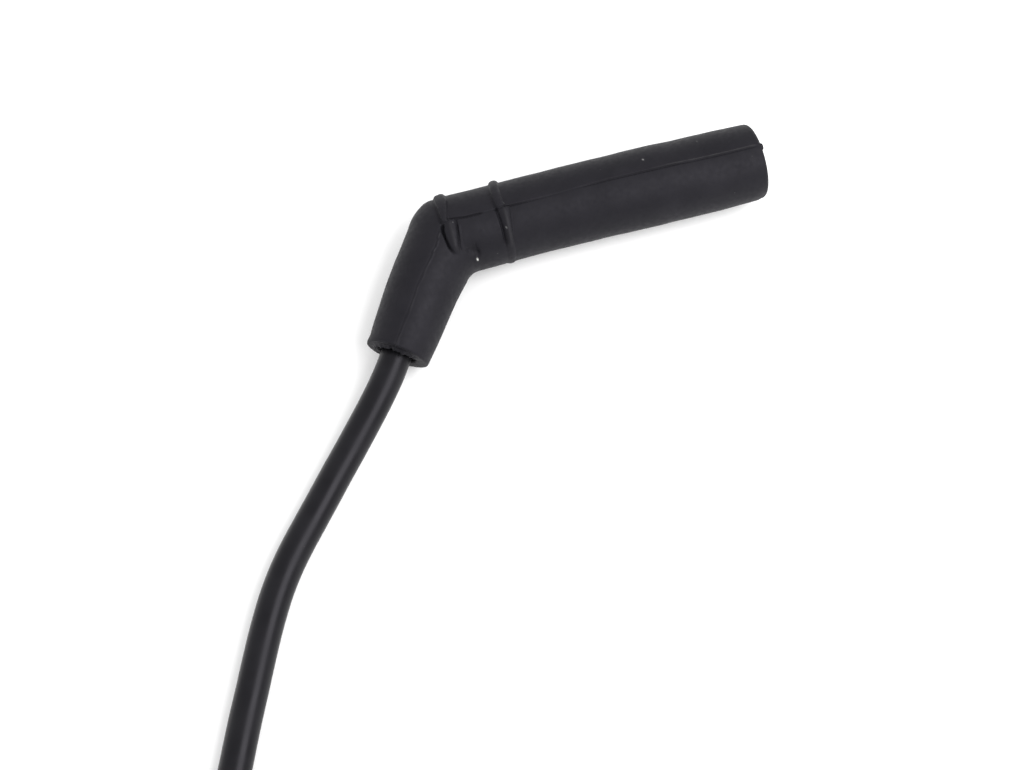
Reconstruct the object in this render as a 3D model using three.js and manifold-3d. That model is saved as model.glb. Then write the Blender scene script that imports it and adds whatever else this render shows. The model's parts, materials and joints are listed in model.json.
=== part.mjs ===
// Spark plug wire: a moulded elbow boot with its terminal, a 7 mm ignition lead wound in a
// tied coil, and the straight boot with its terminal on the lead's other end.
// Millimetres, +Z up. The pieces are placed from the elbow of the plug boot: the corner of its axes
// stands over x = 0, y = 0, the plug arm runs along +X, and everything lies on the floor, z = 0.
// The last lines put the origin under the middle of the plug boot.

import * as THREE from "three";
import { mergeVertices } from "three/addons/utils/BufferGeometryUtils.js";
import Module from "manifold-3d";

const wasm = await Module();
wasm.setup();

// Fits and fineness
const fitGap = 0.3;
const cutOverrun = 1;
const roundSides = 32;
const smallSides = 20;
const leadSides = 10;
const wireSides = 8;
const roundSteps = 4;
const beadSteps = 6;
const armSteps = 12;
const elbowSteps = 8;
const ballRows = 10;

// Ignition lead
const leadRadius = 3.5;
const leadStep = 4 * leadRadius;
const coreRadius = 0.45;

// Plug boot, outside
const plugArmLength = 74;
const plugArmRadius = 9;
const swellHeight = 0.12;
const swellAt = 48;
const swellReach = 20;
const mouthRadius = 8.7;
const mouthTaperLength = 14;
const mouthRound = 1.1;
const elbowTurn = THREE.MathUtils.degToRad(55.44);
const elbowInnerRound = 6;
const elbowOuterRound = 13;
const leadArmLength = 29.5;
const leadArmRadius = 8.3;
const leadArmEndRadius = 7.25;
const leadArmEndRound = 0.4;
const ribStations = [1.3, 13.5];
const ribWidth = 2.4;
const ribHeight = 0.75;
const flashLength = 0.6;
const flashRadius = 0.6;
const flashTipRadius = 0.25;
const flashDepth = 1;
const lieAngle = THREE.MathUtils.degToRad(6.05);

// Boots, inside
const boreRadius = 5.4;
const chamberBeyondSocket = 1.5;
const sealBeadHeight = 0.25;
const sealBeadWidth = 2;
const sealBeadDepths = [8, 14];
const lipRadius = 6;
const lipDepth = 1.6;
const leadHoleLip = 0.5;
const leadHoleLipDepth = 1.5;

// Terminal: socket, wire clip, neck and crimp
const socketInnerRadius = 3.3;
const sheet = 0.5;
const socketLength = 12;
const socketFlare = 0.35;
const socketFlareLength = 1;
const slotFromRear = 2;
const socketSlotWidth = 0.9;
const clipWireRadius = 0.35;
const clipLegOffset = 2.95;
const clipFromFront = 5;
const wireStep = 1;
const neckWidth = 4.6;
const neckThickness = 0.8;
const neckBendRadius = 4;
const crimpLength = 10;
const leadEndInCrimp = 3;
const plugEnd = { turn: elbowTurn, socketRear: 26, crimpRear: 8 };
const capEnd = { turn: 0, socketRear: 6, crimpRear: 4 };

// Straight boot
const capMouthAt = 34;
const capLeadArmLength = 20;
const capBodyRadius = 8.4;
const capSkirtRadius = 10;
const capSkirtLength = 13;
const capCollarWidth = 5;
const capCollarFromEnd = 4;
const capEdgeRound = 1;

// Coil and its ties
const coilCentre = new THREE.Vector2(-51.1, -163.4);
const coilTurnRadius = 42;
const coilSides = 40;
const tieWidth = 4;
const tieThickness = 0.8;
const tieAngles = [15, 195].map(THREE.MathUtils.degToRad);
const tieHeadSize = 5;
const tieHeadHeight = 4.4;

// The lead's way from the plug boot to the coil: x, y and the height over lying on the floor
const leadRoute = [
  [-19.9, -28.7, 3.2],
  [-23.7, -33.3, 2.3],
  [-27.7, -37.7, 1.3],
  [-31.7, -42.1, 0.6],
  [-35.7, -46.5, 0.2],
  [-39.6, -51, 0.08],
  [-43.6, -55.6, 0.02],
  [-47.4, -60, 0],
  [-50.9, -64.5, 0],
  [-53.9, -69.1, 0],
  [-56.5, -73.8, 0],
  [-58.8, -78.4, 0],
  [-61, -83.1, 0],
  [-63.1, -87.7, 0],
  [-65.2, -92.2, 0],
  [-67.3, -96.9, 0],
  [-69.7, -102.4, 0],
  [-74, -112, 0],
  [-78.4, -121.8, 0.1],
  [-82.9, -131.8, 0.4],
];

// The lead's way over the coil's outer turn to the straight boot: x and y from the coil's centre, height
const tailRoute = [
  [20, -38.2, 12.3],
  [27, -37.9, 11.9],
  [34, -37.7, 11],
  [40, -37.6, 10.3],
];
const capBootFromCoil = new THREE.Vector2(66, -37.6);

// Worked out from the sizes above
const bendDirection = new THREE.Vector2(-Math.cos(elbowTurn), -Math.sin(elbowTurn));
const holeRadius = leadRadius + fitGap;
const coreOffset = leadRadius + fitGap + coreRadius;
const crimpInnerRadius = (coreOffset + coreRadius + fitGap + holeRadius) / 2;
const crimpOffset = crimpInnerRadius - holeRadius;
const crimpOuterRadius = crimpInnerRadius + sheet;
const socketOuterRadius = socketInnerRadius + sheet;
const clipArcRadius = socketOuterRadius + fitGap + clipWireRadius;
const chamberRadius = clipArcRadius + clipWireRadius + fitGap;
const neckHoleRadius = Math.hypot(neckWidth, neckThickness) / 2 + fitGap;
const bundleLift = fitGap + tieThickness;
const turnHeight = leadRadius + bundleLift;

const materials = {
  rubber: { color: 0x2c2c30, roughness: 0.62, metalness: 0 },
  jacket: { color: 0x1d1d20, roughness: 0.4, metalness: 0 },
  plated: { color: 0xc9c3b4, roughness: 0.35, metalness: 1 },
  spring: { color: 0xd2d2d2, roughness: 0.25, metalness: 1 },
  core: { color: 0x6f6a62, roughness: 0.6, metalness: 0 },
  nylon: { color: 0x202022, roughness: 0.5, metalness: 0 },
};

function named(name, finish, geometry) {
  const mesh = new THREE.Mesh(geometry, new THREE.MeshStandardMaterial(materials[finish]));
  mesh.name = name;
  return mesh;
}

// Joining and cutting
function solidOf(geometry) {
  const bare = geometry.index ? geometry.toNonIndexed() : geometry.clone();
  bare.deleteAttribute("normal");
  bare.deleteAttribute("uv");
  const merged = mergeVertices(bare, 1e-3);
  return new wasm.Manifold(
    new wasm.Mesh({
      numProp: 3,
      vertProperties: merged.attributes.position.array,
      triVerts: new Uint32Array(merged.index.array),
    }),
  );
}

function geometryOf(solid) {
  const mesh = solid.getMesh();
  const geometry = new THREE.BufferGeometry();
  geometry.setAttribute("position", new THREE.BufferAttribute(mesh.vertProperties, 3));
  geometry.setIndex(new THREE.BufferAttribute(mesh.triVerts, 1));
  return geometry;
}

function joined(pieces) {
  return pieces.map(solidOf).reduce((sum, piece) => sum.add(piece));
}

function cut(body, tools) {
  return geometryOf(tools.map(solidOf).reduce((rest, tool) => rest.subtract(tool), body));
}

// Basic shapes
function turned(profile, sides = roundSides) {
  const points = profile.map(([along, radius]) => new THREE.Vector2(radius, along));
  return new THREE.LatheGeometry(points, sides).rotateZ(-Math.PI / 2);
}

function rod(from, to, radius, sides) {
  return turned([[from, 0], [from, radius], [to, radius], [to, 0]], sides);
}

function block(from, to) {
  const size = to.map((value, axis) => value - from[axis]);
  const middle = to.map((value, axis) => (value + from[axis]) / 2);
  return new THREE.BoxGeometry(...size).translate(...middle);
}

function tube(points, radius, sides, step) {
  const path = new THREE.CatmullRomCurve3(points, false, "centripetal");
  const corners = Array.from({ length: sides }, (_, i) => {
    const angle = (2 * Math.PI * i) / sides;
    return new THREE.Vector2(radius * Math.cos(angle), radius * Math.sin(angle));
  });
  const section = new THREE.Shape(corners);
  const steps = Math.ceil(path.getLength() / step);
  return new THREE.ExtrudeGeometry(section, { steps, extrudePath: path, bevelEnabled: false });
}

// A closed body through rings of equally many points
function loft(rings) {
  const count = rings[0].length;
  const points = rings.flat();
  const index = [];
  for (let r = 0; r + 1 < rings.length; r++) {
    for (let i = 0; i < count; i++) {
      const a = r * count + i;
      const b = r * count + ((i + 1) % count);
      index.push(a, a + count, b, b, a + count, b + count);
    }
  }
  const last = (rings.length - 1) * count;
  for (let i = 1; i + 1 < count; i++) {
    index.push(0, i, i + 1, last, last + i + 1, last + i);
  }
  return new THREE.BufferGeometry().setFromPoints(points).setIndex(index);
}

// One ring of the boot: centre in plan, direction of its level radius in plan, level and upright radius
function ring(centre, across, level, upright) {
  return Array.from({ length: roundSides }, (_, i) => {
    const angle = (2 * Math.PI * i) / roundSides;
    const out = level * Math.cos(angle);
    return new THREE.Vector3(
      centre.x + across.x * out,
      centre.y + across.y * out,
      upright * Math.sin(angle),
    );
  });
}

// Radius of the plug arm: a little fuller halfway, tapered to the mouth
function plugArmRadiusAt(along) {
  const swell = swellHeight * Math.exp(-(((along - swellAt) / swellReach) ** 2));
  const share = Math.max(0, (along - plugArmLength + mouthTaperLength) / mouthTaperLength);
  return plugArmRadius + swell + (mouthRadius - plugArmRadius) * share ** 2;
}

// A rounded edge from a flat face to the side: distance back from the face, and radius
function edgeSteps(sideRadius, round) {
  return Array.from({ length: roundSteps + 1 }, (_, step) => {
    const angle = (step * Math.PI) / (2 * roundSteps);
    return [round * (1 - Math.cos(angle)), sideRadius - round * (1 - Math.sin(angle))];
  });
}

// Plan of the elbow: both arms' inner sides are tangent to a round about one centre, and each ring
// of the elbow lies in an upright plane through that centre
const armNormal = new THREE.Vector2(-bendDirection.y, bendDirection.x);
const innerCentre = new THREE.Vector2(0, -plugArmRadius - elbowInnerRound);
innerCentre.x = (leadArmRadius + elbowInnerRound - armNormal.y * innerCentre.y) / armNormal.x;
const outerCentre = new THREE.Vector2(0, plugArmRadius - elbowOuterRound);
outerCentre.x = (elbowOuterRound - leadArmRadius - armNormal.y * outerCentre.y) / armNormal.x;

function elbowRing(turn) {
  const across = new THREE.Vector2(-Math.sin(turn), Math.cos(turn));
  const toOuter = outerCentre.clone().sub(innerCentre);
  const plugTangent = Math.atan2(-toOuter.x, toOuter.y + elbowOuterRound);
  const leadTangentPoint = toOuter.clone().addScaledVector(armNormal, -elbowOuterRound);
  const leadTangent = Math.atan2(-leadTangentPoint.x, leadTangentPoint.y);
  const middle = toOuter.dot(across);
  let reach = middle + Math.sqrt(elbowOuterRound ** 2 - toOuter.lengthSq() + middle ** 2);
  if (turn < plugTangent) {
    reach = (2 * plugArmRadius + elbowInnerRound) / Math.cos(turn);
  } else if (turn > leadTangent) {
    reach = (2 * leadArmRadius + elbowInnerRound) / Math.cos(elbowTurn - turn);
  }
  const centre = innerCentre.clone().addScaledVector(across, (reach + elbowInnerRound) / 2);
  const share = THREE.MathUtils.smoothstep(turn, 0, elbowTurn);
  const upright = THREE.MathUtils.lerp(plugArmRadius, leadArmRadius, share);
  return ring(centre, across, (reach - elbowInnerRound) / 2, upright);
}

function plugBootBody() {
  const plugAcross = new THREE.Vector2(0, 1);
  const leadAcross = armNormal.clone().negate();
  const rings = edgeSteps(mouthRadius, mouthRound).map(([back, radius]) =>
    ring(new THREE.Vector2(plugArmLength - back, 0), plugAcross, radius, radius),
  );
  const sideStart = plugArmLength - mouthRound;
  for (let i = 1; i < armSteps; i++) {
    const along = THREE.MathUtils.lerp(sideStart, innerCentre.x, i / armSteps);
    const radius = plugArmRadiusAt(along);
    rings.push(ring(new THREE.Vector2(along, 0), plugAcross, radius, radius));
  }
  for (let i = 0; i <= elbowSteps; i++) {
    rings.push(elbowRing((elbowTurn * i) / elbowSteps));
  }
  for (const [back, radius] of edgeSteps(leadArmEndRadius, leadArmEndRound).reverse()) {
    const centre = bendDirection.clone().multiplyScalar(leadArmLength - back);
    rings.push(ring(centre, leadAcross, radius, radius));
  }
  return loft(rings);
}

// A rounded bead around the x axis
function bead(along, radius, width, height) {
  const profile = [];
  for (let i = 0; i <= beadSteps; i++) {
    const angle = (i * Math.PI) / beadSteps;
    profile.push([along - (width / 2) * Math.cos(angle), radius + height * Math.sin(angle)]);
  }
  profile.push([along + width / 2, radius - cutOverrun], [along - width / 2, radius - cutOverrun]);
  return turned([...profile, profile[0]]);
}

// What is built along +x is turned to the lead side of a terminal or boot
function towardsLead(geometry, turn) {
  return geometry.rotateZ(Math.PI + turn);
}

// The hollow of a boot: plug bore with two sealing beads, terminal chamber, neck passage, crimp
// pocket and lead hole
function bootHollow({ turn, socketRear, crimpRear }, mouthAt, leadHoleEnd) {
  const chamberEnd = socketRear + socketLength + chamberBeyondSocket;
  const bore = [[socketRear - fitGap, 0], [socketRear - fitGap, chamberRadius]];
  bore.push([chamberEnd, chamberRadius], [chamberEnd, boreRadius]);
  for (const depth of [...sealBeadDepths].reverse()) {
    const at = mouthAt - depth;
    bore.push([at - sealBeadWidth / 2, boreRadius]);
    bore.push([at, boreRadius - sealBeadHeight]);
    bore.push([at + sealBeadWidth / 2, boreRadius]);
  }
  bore.push([mouthAt - lipDepth, boreRadius], [mouthAt, lipRadius]);
  bore.push([mouthAt + cutOverrun, lipRadius], [mouthAt + cutOverrun, 0]);

  const pocketEnd = crimpRear + crimpLength + fitGap;
  const pocket = rod(crimpRear - fitGap, pocketEnd, crimpOuterRadius + fitGap);
  const leadHole = turned([
    [pocketEnd - cutOverrun, 0],
    [pocketEnd - cutOverrun, holeRadius],
    [leadHoleEnd - leadHoleLipDepth, holeRadius],
    [leadHoleEnd, holeRadius + leadHoleLip],
    [leadHoleEnd + cutOverrun, holeRadius + leadHoleLip],
    [leadHoleEnd + cutOverrun, 0],
  ]);
  return [
    turned(bore),
    new THREE.SphereGeometry(neckHoleRadius, smallSides, ballRows),
    rod(0, socketRear, neckHoleRadius, smallSides),
    towardsLead(rod(0, crimpRear, neckHoleRadius, smallSides), turn),
    towardsLead(pocket.translate(0, 0, crimpOffset), turn),
    towardsLead(leadHole, turn),
  ];
}

// The nub of flash that the mould's seam leaves on the mouth's upper edge
function flashNub() {
  const root = plugArmLength - flashDepth;
  const tip = plugArmLength + flashLength;
  const nub = turned([[root, 0], [root, flashRadius], [tip, flashTipRadius], [tip, 0]], wireSides);
  return nub.translate(0, 0, mouthRadius - flashRadius);
}

function plugBoot() {
  const ribs = ribStations.map((along) => bead(along, plugArmRadius, ribWidth, ribHeight));
  const hollow = bootHollow(plugEnd, plugArmLength, leadArmLength);
  const body = joined([plugBootBody(), ...ribs, flashNub()]);
  return named("plug_boot", "rubber", cut(body, hollow));
}

function capBoot() {
  const skirtStart = capMouthAt - capSkirtLength;
  const collarStart = -capLeadArmLength + capCollarFromEnd;
  const collarEnd = collarStart + capCollarWidth;
  const rear = edgeSteps(leadArmEndRadius, leadArmEndRound);
  const front = edgeSteps(capSkirtRadius, capEdgeRound).reverse();
  const body = turned([
    [-capLeadArmLength, 0],
    ...rear.map(([back, radius]) => [back - capLeadArmLength, radius]),
    [collarStart, capBodyRadius],
    [collarStart + capEdgeRound, capSkirtRadius],
    [collarEnd - capEdgeRound, capSkirtRadius],
    [collarEnd, capBodyRadius],
    [skirtStart, capBodyRadius],
    [skirtStart + 2 * capEdgeRound, capSkirtRadius],
    ...front.map(([back, radius]) => [capMouthAt - back, radius]),
    [capMouthAt, 0],
  ]);
  const hollow = bootHollow(capEnd, capMouthAt, capLeadArmLength);
  return named("cap_boot", "rubber", cut(solidOf(body), hollow));
}

// The neck is a strip on edge, bent in plan with the elbow
function neck({ turn, socketRear, crimpRear }) {
  const half = neckThickness / 2;
  const tangent = neckBendRadius * Math.tan(turn / 2);
  const outer = [new THREE.Vector2(socketRear + half, half)];
  const inner = [new THREE.Vector2(socketRear + half, -half)];
  const steps = turn === 0 ? 0 : elbowSteps;
  for (let i = 0; i <= steps; i++) {
    const angle = steps === 0 ? 0 : (turn * i) / steps;
    const out = new THREE.Vector2(-Math.sin(angle), Math.cos(angle));
    const centre = new THREE.Vector2(tangent, -neckBendRadius);
    outer.push(centre.clone().addScaledVector(out, neckBendRadius + half));
    inner.push(centre.clone().addScaledVector(out, neckBendRadius - half));
  }
  const direction = new THREE.Vector2(-Math.cos(turn), -Math.sin(turn));
  const across = new THREE.Vector2(-Math.sin(turn), Math.cos(turn));
  const end = direction.multiplyScalar(crimpRear + half);
  outer.push(end.clone().addScaledVector(across, half));
  inner.push(end.clone().addScaledVector(across, -half));
  const outline = new THREE.Shape([...outer, ...inner.reverse()]);
  const strip = new THREE.ExtrudeGeometry(outline, { depth: neckWidth, bevelEnabled: false });
  return strip.translate(0, 0, -neckWidth / 2);
}

function terminal(name, { turn, socketRear, crimpRear }) {
  const front = socketRear + socketLength;
  const socket = turned([
    [socketRear, 0],
    [socketRear, socketOuterRadius],
    [front - socketFlareLength, socketOuterRadius],
    [front, socketOuterRadius + socketFlare],
    [front, socketInnerRadius + socketFlare],
    [front - socketFlareLength, socketInnerRadius],
    [socketRear + sheet, socketInnerRadius],
    [socketRear + sheet, 0],
  ], smallSides);
  const crimpEnd = crimpRear + crimpLength;
  const crimp = turned([
    [crimpRear, 0],
    [crimpRear, crimpOuterRadius],
    [crimpEnd, crimpOuterRadius],
    [crimpEnd, crimpInnerRadius],
    [crimpRear + sheet, crimpInnerRadius],
    [crimpRear + sheet, 0],
  ], smallSides).translate(0, 0, crimpOffset);
  const clipAt = front - clipFromFront;
  const slotHalf = clipWireRadius + fitGap;
  const slotInner = clipLegOffset - clipWireRadius - fitGap;
  const slotOuter = socketOuterRadius + cutOverrun;
  const slotRear = socketRear + slotFromRear;
  const slots = [
    block([slotRear, -socketSlotWidth / 2, 0], [front + cutOverrun, socketSlotWidth / 2, slotOuter]),
    block([clipAt - slotHalf, slotInner, -slotOuter], [clipAt + slotHalf, slotOuter, slotOuter]),
    block([clipAt - slotHalf, -slotOuter, -slotOuter], [clipAt + slotHalf, -slotInner, slotOuter]),
  ];
  const body = joined([socket, neck({ turn, socketRear, crimpRear }), towardsLead(crimp, turn)]);
  return named(name, "plated", cut(body, slots));
}

// The wire clip: two legs in the socket's slots, joined by a round under the socket
function clip(name, { socketRear }) {
  const at = socketRear + socketLength - clipFromFront;
  const legEnd = Math.sqrt(clipArcRadius ** 2 - clipLegOffset ** 2);
  const startAngle = Math.atan2(-legEnd, clipLegOffset);
  const endAngle = -Math.PI - startAngle;
  const points = [new THREE.Vector3(at, clipLegOffset, legEnd), new THREE.Vector3(at, clipLegOffset, 0)];
  for (let i = 0; i <= beadSteps; i++) {
    const angle = THREE.MathUtils.lerp(startAngle, endAngle, i / beadSteps);
    const around = new THREE.Vector3(at, Math.cos(angle), Math.sin(angle));
    points.push(around.multiply(new THREE.Vector3(1, clipArcRadius, clipArcRadius)));
  }
  points.push(new THREE.Vector3(at, -clipLegOffset, 0), new THREE.Vector3(at, -clipLegOffset, legEnd));
  return named(name, "spring", tube(points, clipWireRadius, wireSides, wireStep));
}

// The bared core: out of the lead's cut end, folded back along the jacket under the crimp
function coreEnd(name, { turn, crimpRear }) {
  const leadEnd = crimpRear + leadEndInCrimp;
  const turnAt = crimpRear + sheet + fitGap + coreRadius;
  const coreFoldEnd = crimpRear + crimpLength - 2 * coreRadius;
  const coreStart = leadEnd - fitGap;
  const points = [
    [coreStart, 0],
    [(coreStart + turnAt) / 2, coreOffset * 0.05],
    [turnAt, coreOffset * 0.45],
    [turnAt + coreRadius / 2, coreOffset * 0.8],
    [coreStart, coreOffset],
    [(coreStart + coreFoldEnd) / 2, coreOffset],
    [coreFoldEnd, coreOffset],
  ].map(([along, up]) => new THREE.Vector3(along, 0, up));
  return named(name, "core", towardsLead(tube(points, coreRadius, wireSides, wireStep), turn));
}

// Outline of the tied turns, two side by side and one on them: distance from the coil's centre and
// height, grown by a margin
function bundleOutline(margin) {
  const inner = coilTurnRadius - 2 * leadRadius;
  const middle = coilTurnRadius - leadRadius;
  const side = Math.atan2(1, 2);
  const circles = [
    { at: [coilTurnRadius, turnHeight], from: -Math.PI / 2, to: side },
    { at: [middle, turnHeight + 2 * leadRadius], from: side, to: Math.PI - side },
    { at: [inner, turnHeight], from: Math.PI - side, to: 1.5 * Math.PI },
  ];
  return circles.flatMap(({ at, from, to }) =>
    Array.from({ length: roundSteps + 1 }, (_, step) => {
      const angle = THREE.MathUtils.lerp(from, to, step / roundSteps);
      const radius = leadRadius + margin;
      return new THREE.Vector2(at[0] + radius * Math.cos(angle), at[1] + radius * Math.sin(angle));
    }),
  );
}

function coilRing(margin) {
  const outline = bundleOutline(margin);
  const ringBody = new THREE.LatheGeometry([...outline, outline[0]], coilSides);
  return ringBody.rotateX(Math.PI / 2).translate(coilCentre.x, coilCentre.y, 0);
}

function coilTie(name, angle) {
  const band = new THREE.Shape(bundleOutline(fitGap + tieThickness));
  band.holes.push(new THREE.Path(bundleOutline(fitGap)));
  const strap = new THREE.ExtrudeGeometry(band, { depth: tieWidth, bevelEnabled: false });
  strap.translate(0, 0, -tieWidth / 2).rotateX(Math.PI / 2);
  const inside = coilTurnRadius - 3 * leadRadius - fitGap;
  const head = block(
    [inside - tieHeadHeight, -tieHeadSize / 2, turnHeight - tieHeadSize / 2],
    [inside - tieThickness / 2, tieHeadSize / 2, turnHeight + tieHeadSize / 2],
  );
  const tie = geometryOf(joined([strap, head]));
  return named(name, "nylon", tie.rotateZ(angle).translate(coilCentre.x, coilCentre.y, 0));
}

// The plug boot lies with its lead arm's end on the floor, and lower than the plug arm
const lying = new THREE.Group();
lying.add(
  plugBoot(),
  terminal("plug_terminal", plugEnd),
  clip("plug_terminal_clip", plugEnd),
  coreEnd("plug_core_end", plugEnd),
);
lying.rotation.x = lieAngle;
lying.updateMatrixWorld(true);
const lyingBox = new THREE.Box3().setFromObject(lying, true);
lying.position.z = -lyingBox.min.z;
lying.updateMatrixWorld(true);

const straight = new THREE.Group();
straight.add(
  capBoot(),
  terminal("cap_terminal", capEnd),
  clip("cap_terminal_clip", capEnd),
  coreEnd("cap_core_end", capEnd),
);
straight.position.set(
  coilCentre.x + capBootFromCoil.x,
  coilCentre.y + capBootFromCoil.y,
  capSkirtRadius,
);
straight.updateMatrixWorld(true);

// Points on the lead's axis inside a boot, from its cut end in the crimp to the boot's rear face
function pointsInBoot(group, { turn, crimpRear }, rear) {
  const start = crimpRear + leadEndInCrimp;
  return [start, (start + rear) / 2, rear].map((along) =>
    new THREE.Vector3(-along * Math.cos(turn), -along * Math.sin(turn), 0).applyMatrix4(
      group.matrixWorld,
    ),
  );
}

function trimmedLead(name, points) {
  const lead = solidOf(tube(points, leadRadius, leadSides, leadStep));
  return named(name, "jacket", cut(lead, [coilRing(fitGap)]));
}

const leadPoints = [
  ...pointsInBoot(lying, plugEnd, leadArmLength),
  ...leadRoute.map(([x, y, lift]) => new THREE.Vector3(x, y, leadRadius + lift)),
];
const tailPoints = [
  ...tailRoute.map(([x, y, z]) => new THREE.Vector3(coilCentre.x + x, coilCentre.y + y, z)),
  ...pointsInBoot(straight, capEnd, capLeadArmLength).reverse(),
];

const wire = new THREE.Group();
wire.add(
  lying,
  trimmedLead("lead", leadPoints),
  named("lead_coil", "jacket", coilRing(0)),
  trimmedLead("lead_tail", tailPoints),
  straight,
);
tieAngles.forEach((angle, i) => wire.add(coilTie(`coil_tie_${i + 1}`, angle)));

// The origin is under the middle of the plug boot
lyingBox.setFromObject(lying, true);
const middle = lyingBox.getCenter(new THREE.Vector3());
wire.position.set(-middle.x, -middle.y, 0);

export default wire;
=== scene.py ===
"""Spark plug wire: the looks of its boots, lead, terminals and ties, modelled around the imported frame."""

import json
import math

import bpy
import numpy as np
from mathutils import Matrix, Vector

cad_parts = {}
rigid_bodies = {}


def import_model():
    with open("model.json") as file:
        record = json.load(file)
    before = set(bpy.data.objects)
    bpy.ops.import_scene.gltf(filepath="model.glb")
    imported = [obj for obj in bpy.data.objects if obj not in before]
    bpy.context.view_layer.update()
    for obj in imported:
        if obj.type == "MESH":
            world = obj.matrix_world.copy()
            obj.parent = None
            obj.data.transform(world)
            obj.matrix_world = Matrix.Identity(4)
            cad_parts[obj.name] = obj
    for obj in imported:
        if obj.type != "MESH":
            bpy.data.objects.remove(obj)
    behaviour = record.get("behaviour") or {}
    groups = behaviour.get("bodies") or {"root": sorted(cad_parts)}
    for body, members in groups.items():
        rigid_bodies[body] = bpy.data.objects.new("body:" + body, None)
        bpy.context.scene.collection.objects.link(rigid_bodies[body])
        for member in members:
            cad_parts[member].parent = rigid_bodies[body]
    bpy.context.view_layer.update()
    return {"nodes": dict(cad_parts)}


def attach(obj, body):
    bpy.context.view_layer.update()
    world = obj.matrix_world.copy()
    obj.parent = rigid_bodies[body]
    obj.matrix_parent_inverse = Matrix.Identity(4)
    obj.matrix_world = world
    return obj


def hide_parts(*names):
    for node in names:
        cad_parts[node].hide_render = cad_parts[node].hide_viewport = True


bl_info = {
    "name": "Spark Plug Wire",
    "version": (1, 0, 0),
    "blender": (4, 5, 0),
    "location": "View3D > Sidebar > Plug Wire",
    "description": "Models an ignition lead with its moulded boots, terminals and tied coil",
    "category": "Add Mesh",
}

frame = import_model()

MM = 0.001
BODY = "root"

# The frame's own places: the elbow of the plug boot, the straight boot's reference and the coil
ELBOW = Vector((-26.029, 9.223, 9.722)) * MM
ELBOW_ON_FLOOR = Vector((ELBOW.x, ELBOW.y, 0))
STRAIGHT = Vector((-11.129, -191.777, 10)) * MM
COIL_CENTRE = Vector((-77.129, -154.177, 0)) * MM
LIE_ANGLE = math.radians(6.05)
ELBOW_TURN = math.radians(55.44)
LEAD_DIRECTION = Vector((-math.cos(ELBOW_TURN), -math.sin(ELBOW_TURN), 0))

# Rings of a boot: sides, and how strongly they gather at the mould's seam
RING_SIDES = 160
SEAM_GATHER = 0.38


def length(name, description, millimetres):
    return bpy.props.FloatProperty(
        name=name, description=description, default=millimetres * MM, unit="LENGTH", precision=5
    )


def colour(name, description, value):
    return bpy.props.FloatVectorProperty(
        name=name, description=description, default=(*value, 1), subtype="COLOR", size=4, min=0, max=1
    )


def share(name, description, value):
    return bpy.props.FloatProperty(
        name=name, description=description, default=value, subtype="FACTOR", min=0, max=1
    )


class PlugBootSizes(bpy.types.PropertyGroup):
    """Sizes of the elbow boot on the spark plug"""

    plug_arm_length: length("Plug arm length", "From the elbow to the mouth", 74)
    plug_arm_radius: length("Plug arm radius", "Radius of the arm that covers the plug", 9)
    swell_height: length("Swell", "How much fuller the plug arm is halfway", 0.12)
    mouth_radius: length("Mouth radius", "Outer radius at the mouth", 8.7)
    mouth_round: length("Mouth rounding", "Radius of the mouth's outer edge", 1.1)
    lead_arm_length: length("Lead arm length", "From the elbow to the lead's hole", 29.5)
    lead_arm_radius: length("Lead arm radius", "Radius of the lead arm at the elbow", 8.3)
    lead_arm_end: length("Lead arm end radius", "Radius of the lead arm at its end", 7.25)
    inner_round: length("Inner elbow round", "Radius inside the elbow, in plan", 6)
    outer_round: length("Outer elbow round", "Radius outside the elbow, in plan", 13)
    rib_height: length("Rib height", "How far the two ribs stand out", 0.75)


class StraightBootSizes(bpy.types.PropertyGroup):
    """Sizes of the straight boot on the lead's other end"""

    body_radius: length("Body radius", "Radius between collar and skirt", 8.4)
    skirt_radius: length("Skirt radius", "Radius of the skirt and the collar", 10)
    skirt_length: length("Skirt length", "Length of the skirt at the mouth", 13)
    mouth_at: length("Mouth", "From the boot's reference to its mouth", 34)
    rear_at: length("Rear", "From the boot's reference to the lead's hole", 20)


class LeadSizes(bpy.types.PropertyGroup):
    """Sizes of the lead and of the ties round its coil"""

    diameter: length("Lead diameter", "Outer diameter of the ignition lead", 7)
    real_length: length("Lead length", "Length of the lead from crimp to crimp", 780)
    tie_width: length("Tie width", "Width of the coil's ties", 4)
    tie_thickness: length("Tie thickness", "Thickness of the ties' straps", 0.8)


class Finishes(bpy.types.PropertyGroup):
    """Colours and roughness of what the wire is made of"""

    boot: colour("Boot rubber", "Colour of the moulded boots", (0.0062, 0.006, 0.0078))
    boot_worn: colour("Boot bloom", "Paler bloom on the moulded rubber", (0.0098, 0.0094, 0.0118))
    jacket: colour("Lead jacket", "Colour of the lead's jacket", (0.002, 0.002, 0.0027))
    plated: colour("Plated steel", "Colour of the terminals", (0.72, 0.68, 0.58))
    spring: colour("Spring wire", "Colour of the wire clips", (0.7, 0.7, 0.71))
    core: colour("Conductor core", "Colour of the bared core", (0.05, 0.047, 0.045))
    nylon: colour("Tie nylon", "Colour of the ties", (0.011, 0.011, 0.012))
    floor: colour("Floor", "Colour of the floor", (0.96, 0.96, 0.96))
    boot_roughness: share("Boot roughness", "Roughness of the boots", 0.56)
    jacket_roughness: share("Jacket roughness", "Roughness of the jacket", 0.36)


# Selection and editing


def select_only(obj):
    bpy.ops.object.select_all(action="DESELECT")
    obj.select_set(True)
    bpy.context.view_layer.objects.active = obj


def add_primitive(name, operator, **options):
    """Adds a primitive, with its place, turn and size in its mesh."""
    bpy.ops.object.select_all(action="DESELECT")
    operator(**options)
    obj = bpy.context.object
    obj.name = name
    bpy.ops.object.transform_apply(location=True, rotation=True, scale=True)
    return obj


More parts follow.
